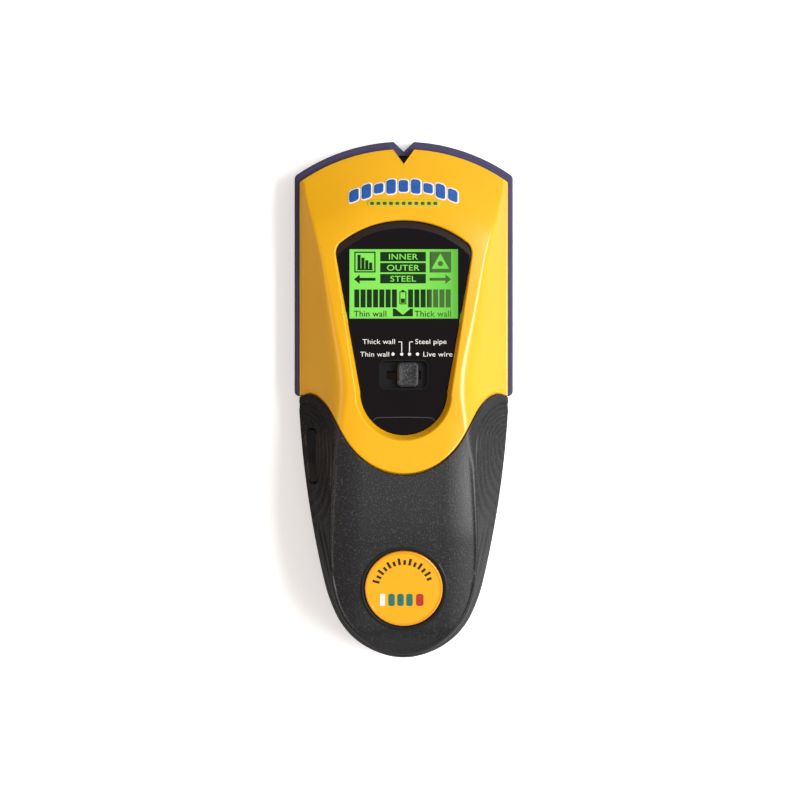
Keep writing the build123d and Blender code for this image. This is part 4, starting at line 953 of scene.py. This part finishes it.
def lcd_print():
    """Segments on the display: bars, arrows, frames and plain words, centred on the display."""
    def on_lcd(points):
        return on_display(np.asarray(points) + [0, LCD_UP, LCD_TOP])

    loops = frame_loops(-17.2, 4.2, -9.8, 11.5, 0.45) + [box_loop(-16.2, 5.0, -10.8, 5.5)]
    for i, tall in enumerate((4.9, 3.9, 3.0, 2.2)):
        loops.append(box_loop(-16.1 + i * 1.35, 5.5, -15.0 + i * 1.35, 5.5 + tall))
    loops.append(box_loop(9.0, 4.2, 16.5, 11.5))
    for i in range(3):
        loops.append(box_loop(-8.2, 8.1 - i * 3.85, 7.7, 11.4 - i * 3.85))
    loops += [box_loop(-15.3, 1.35, -9.8, 2.35), np.array([(-17.3, 1.85), (-15.3, 0.2), (-15.3, 3.5)])]
    loops += [box_loop(9.0, 1.35, 14.5, 2.35), np.array([(16.5, 1.85), (14.5, 3.5), (14.5, 0.2)])]
    for i in range(7):
        loops.append(box_loop(-17.2 + i * 2.18, -8.0, -15.45 + i * 2.18, -1.7))
        loops.append(box_loop(1.5 + i * 2.18, -8.0, 3.25 + i * 2.18, -1.7))
    loops += frame_loops(-1.5, -6.9, 0.9, -2.4, 0.32) + [box_loop(-0.8, -2.4, 0.2, -1.9)]
    loops += [box_loop(-1.0, -6.4, 0.4, -4.9), box_loop(-3.8, -11.1, 3.2, -8.4)]
    # the segment ink carries a painted reflection on its right side
    print_shape("lcd_segments", loops, on_lcd, SEGMENT_PAINTED_REFLECTION, height=0.05)
    words("lcd_words", [("Thin wall", -17.4, -11.2, 2.1, "LEFT"), ("Thick wall", 16.6, -11.2, 2.1, "RIGHT")],
          on_lcd, SEGMENT_PAINTED_REFLECTION, 0.05, bold=0.03, stretch=1.0)
    words("lcd_bar_words", [("INNER", -0.25, 8.75, 2.0, "CENTER"), ("OUTER", -0.25, 4.9, 2.0, "CENTER"),
                            ("STEEL", -0.25, 1.05, 2.0, "CENTER")],
          on_lcd, LCD_GREEN, 0.12, bold=0.025, stretch=1.2)
    marks = [np.array([(12.75, 10.9), (9.7, 5.5), (15.8, 5.5)]),
             np.array([(-3.2, -8.2), (2.6, -8.2), (-0.3, -10.6)])]
    print_shape("lcd_marks", marks, on_lcd, LCD_GREEN, height=0.12)
    print_shape("lcd_mark_dot", [disc_loop(12.75, 7.3, 0.9)], on_lcd, SEGMENT_PAINTED_REFLECTION, height=0.16)


def mode_labels():
    """White dots, leader lines and plain words round the switch slot, printed on the window."""
    row, upper = 15.6 - DISPLAY_Y, 20.0 - DISPLAY_Y
    loops = [disc_loop(x, row, 0.55) for x in (-3.7, -0.7, 2.0, 4.8)]
    loops += [box_loop(-0.84, row + 0.8, -0.56, upper), box_loop(-1.9, upper - 0.28, -0.56, upper),
              box_loop(1.86, row + 0.8, 2.14, upper), box_loop(1.86, upper - 0.28, 3.2, upper)]
    print_shape("mode_marks", loops, on_display, WHITE_INK, height=0.04)
    t = np.linspace(-1, 1, 41)
    brow = np.stack([10.9 * t, -31.0 - 0.5 * t**2 * (1 - t**2) - 1.5 * np.abs(t)**14], 1)
    band = np.concatenate([brow, brow[::-1] - [0, 0.3]])
    print_shape("brow_line", [band], on_display, BROW_INK, height=0.04)
    low_base, high_base = row - 0.85, upper - 0.85
    entries = [("Thick wall", -2.9, high_base, 1.7, "RIGHT"), ("Thin wall", -4.9, low_base, 1.7, "RIGHT"),
               ("Steel pipe", 3.9, high_base, 1.7, "LEFT"), ("Live wire", 6.6, low_base, 1.7, "LEFT")]
    words("mode_words", entries, on_display, WHITE_INK, 0.03, stretch=1.1)


def pills(name, shapes, place, material, height, columns=9):
    """Rounded bars that follow a curved surface: (x, y, width, tall, corner) each, as a grid.

    At each level t the half width is w/2 - r + sqrt(r^2 - max(|t| - (h/2 - r), 0)^2).
    """
    s, t = np.meshgrid(np.linspace(-1, 1, columns), np.linspace(-1, 1, 13))
    points, faces = [], []
    for n, (x, y, width, tall, corner) in enumerate(shapes):
        over = np.maximum(np.abs(t) * tall / 2 - (tall / 2 - corner), 0)
        half = width / 2 - corner + np.sqrt(np.maximum(corner**2 - over**2, 0.0004))
        flat = np.stack([x + s * half, y + t * tall / 2, np.full_like(s, height)], -1).reshape(-1, 3)
        points.append(flat)
        faces.append(grid_faces(13, columns) + n * flat.shape[0])
    placed = place(np.concatenate(points))
    faces = upward(placed, np.concatenate(faces))
    make_mesh(name, placed, faces, material, "case", smooth=40, thickness=0.12)


def forehead_print():
    """Arched row of blue bars with white edges, over a small pale green capsule of dashes."""
    def bend(points):
        points = np.array(points, float)
        points[:, 1] -= points[:, 0]**2 / 90
        return on_skin(points)

    tall = [4.2, 5.0, 3.4, 5.0, 4.2, 5.0, 3.4, 5.0, 4.2]
    bars = [(-17.3 + i * 4.3, 74.2, 3.3, h, 0.8) for i, h in enumerate(tall)]
    edges = [(x, y, w + 0.9, h + 0.9, c + 0.4) for x, y, w, h, c in bars]
    pills("forehead_edges", edges, bend, WHITE_INK, 0.04)
    pills("forehead_bars", bars, bend, BLUE_INK, 0.09)
    pills("forehead_capsule", [(0, 68.1, 25.5, 2.7, 1.3)], on_skin, LIME_INK, 0.04, 61)
    dashes = [(-11.0 + i * 2.2, 68.1, 1.3, 1.1, 0.3) for i in range(11)]
    pills("forehead_dashes", dashes, on_skin, GREEN_INK, 0.09)


def badge():
    """Disc with a bevelled rim in a darker orange that is a painted shade line, and the small pictograms
    printed on it.
    """
    angles = np.radians(np.arange(0, 360, 2.0))
    profile = [(0.0, -1.2), (0.0, 0.0), (0.1, 0.18), (0.28, 0.28), (0.5, 0.3), (0.75, 0.26), (0.95, 0.2)]
    rings = [np.stack([(BADGE_RADIUS - i) * np.cos(angles), (BADGE_RADIUS - i) * np.sin(angles),
                       np.full(len(angles), h)], 1) for i, h in profile]
    grid = np.array(rings)
    placed = on_badge(grid.reshape(-1, 3)).reshape(grid.shape)
    # rim material: darker orange, a painted shade line
    grid_mesh("badge_rim", placed, BADGE_RIM_PAINTED_SHADE, "case", closed=True, smooth=40, stands_for=("name_badge",))
    grid = np.stack([np.stack([r * np.cos(angles), r * np.sin(angles), np.full(len(angles), h)], 1)
                     for r, h in ((BADGE_RADIUS - 0.9, 0.2), (9.0, 0.22), (4.0, 0.24), (0.05, 0.24))])
    placed = on_badge(grid.reshape(-1, 3)).reshape(grid.shape)
    grid_mesh("badge_face", placed, YELLOW_LABEL, "case", closed=True, smooth=40, stands_for=("name_badge",))
    ticks = []
    for i, angle in enumerate(np.radians(np.linspace(165, 22, 14))):
        out = np.array([math.cos(angle), math.sin(angle)])
        half = 0.42 * np.array([-math.sin(angle), math.cos(angle)])
        inner, outer = out * 8.7, out * (11.1 if i % 2 == 0 else 10.4)
        ticks.append(np.array([inner - half, outer - half, outer + half, inner + half]))
    print_shape("badge_ticks", ticks, on_badge, BLACK_INK, height=0.3)
    for name, ink, width, corner, places in (("badge_white", WHITE_INK, 1.8, 0.4, (-7.4,)),
                                             ("badge_teal", TEAL_INK, 2.2, 0.7, (-4.2, -1.1, 2.0)),
                                             ("badge_red", RED_INK, 2.6, 0.9, (5.6,))):
        bars = [rounded_rectangle(width, 4.4, corner, 4) + [x, -4.0] for x in places]
        print_shape(name, bars, on_badge, ink, height=0.32)


lcd_print()
mode_labels()
forehead_print()
badge()


# ------------------------------------------------------------------ floor, light and camera
def studio():
    """White floor, large key light on the right and weak warm fill on the left.

    The sky lights the object less from the left, and the camera sees it plain white.
    """
    floor_mesh = bpy.data.meshes.new("floor")
    size = 3.0
    corners = [(-size, -size, 0), (size, -size, 0), (size, size, 0), (-size, size, 0)]
    floor_mesh.from_pydata(corners, [], [(0, 1, 2, 3)])
    floor = bpy.data.objects.new("floor", floor_mesh)
    bpy.context.scene.collection.objects.link(floor)
    floor.location.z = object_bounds()[0].z - 0.0005
    floor_mesh.materials.append(surface("floor_paper", "#ffffff", "#fdfdfd", 400, 4.0, 0.01, (0.85, 0.9),
                                       Emission_Color=(1, 1, 1, 1), Emission_Strength=0.45))
    floor.visible_glossy = False
    world = bpy.data.worlds.new("sky")
    bpy.context.scene.world = world
    world.use_nodes = True
    world.node_tree.nodes["Background"].inputs["Color"].default_value = (1.0, 0.98, 0.95, 1)
    tree = world.node_tree
    way = add(tree, "ShaderNodeSeparateXYZ", Vector=add(tree, "ShaderNodeTexCoord").outputs["Generated"])
    glow = add(tree, "ShaderNodeMapRange", {"From Min": -0.8, "From Max": 0.8, "To Min": 0.06,
                                                 "To Max": 0.75}, Value=way.outputs["X"])
    tree.links.new(glow.outputs["Result"], tree.nodes["Background"].inputs["Strength"])
    backdrop = add(tree, "ShaderNodeBackground", {"Color": (1, 1, 1, 1), "Strength": 1.0})
    seen = add(tree, "ShaderNodeMixShader", Fac=add(tree, "ShaderNodeLightPath").outputs["Is Camera Ray"])
    tree.links.new(tree.nodes["Background"].outputs[0], seen.inputs[1])
    tree.links.new(backdrop.outputs[0], seen.inputs[2])
    tree.links.new(seen.outputs[0], tree.nodes["World Output"].inputs["Surface"])
    target = Vector((0, 0, 0.02))
    lamps = [("key", (0.62, 0.0, 0.83), (0.4, 0.8), 12.5, (1, 1, 0.97)),
             ("fill", (-0.85, -0.1, 0.45), (0.3, 0.8), 2.4, (1, 0.7, 0.52))]
    for name, place, size, power, tint in lamps:
        light = bpy.data.lights.new(name, "AREA")
        light.shape = "RECTANGLE"
        light.size, light.size_y = size
        light.energy = power
        light.color = tint
        lamp = bpy.data.objects.new(name, light)
        bpy.context.scene.collection.objects.link(lamp)
        lamp.location = place
        lamp.rotation_euler = (target - Vector(place)).to_track_quat("-Z", "Z").to_euler()


def camera():
    """Straight above, far enough back for the slight spread of the head's sides."""
    lens = bpy.data.cameras.new("main")
    lens.sensor_width = 36.0
    distance = 2.8
    parting_height, view_width = 0.012, 0.2795
    lens.lens = lens.sensor_width * (distance - parting_height) / view_width
    eye = bpy.data.objects.new("main", lens)
    bpy.context.scene.collection.objects.link(eye)
    eye.location = (-0.0013, -0.0003, distance)
    eye.rotation_euler = (0, 0, 0)
    bpy.context.scene.camera = eye


studio()
camera()
bpy.context.scene.view_settings.view_transform = "Standard"
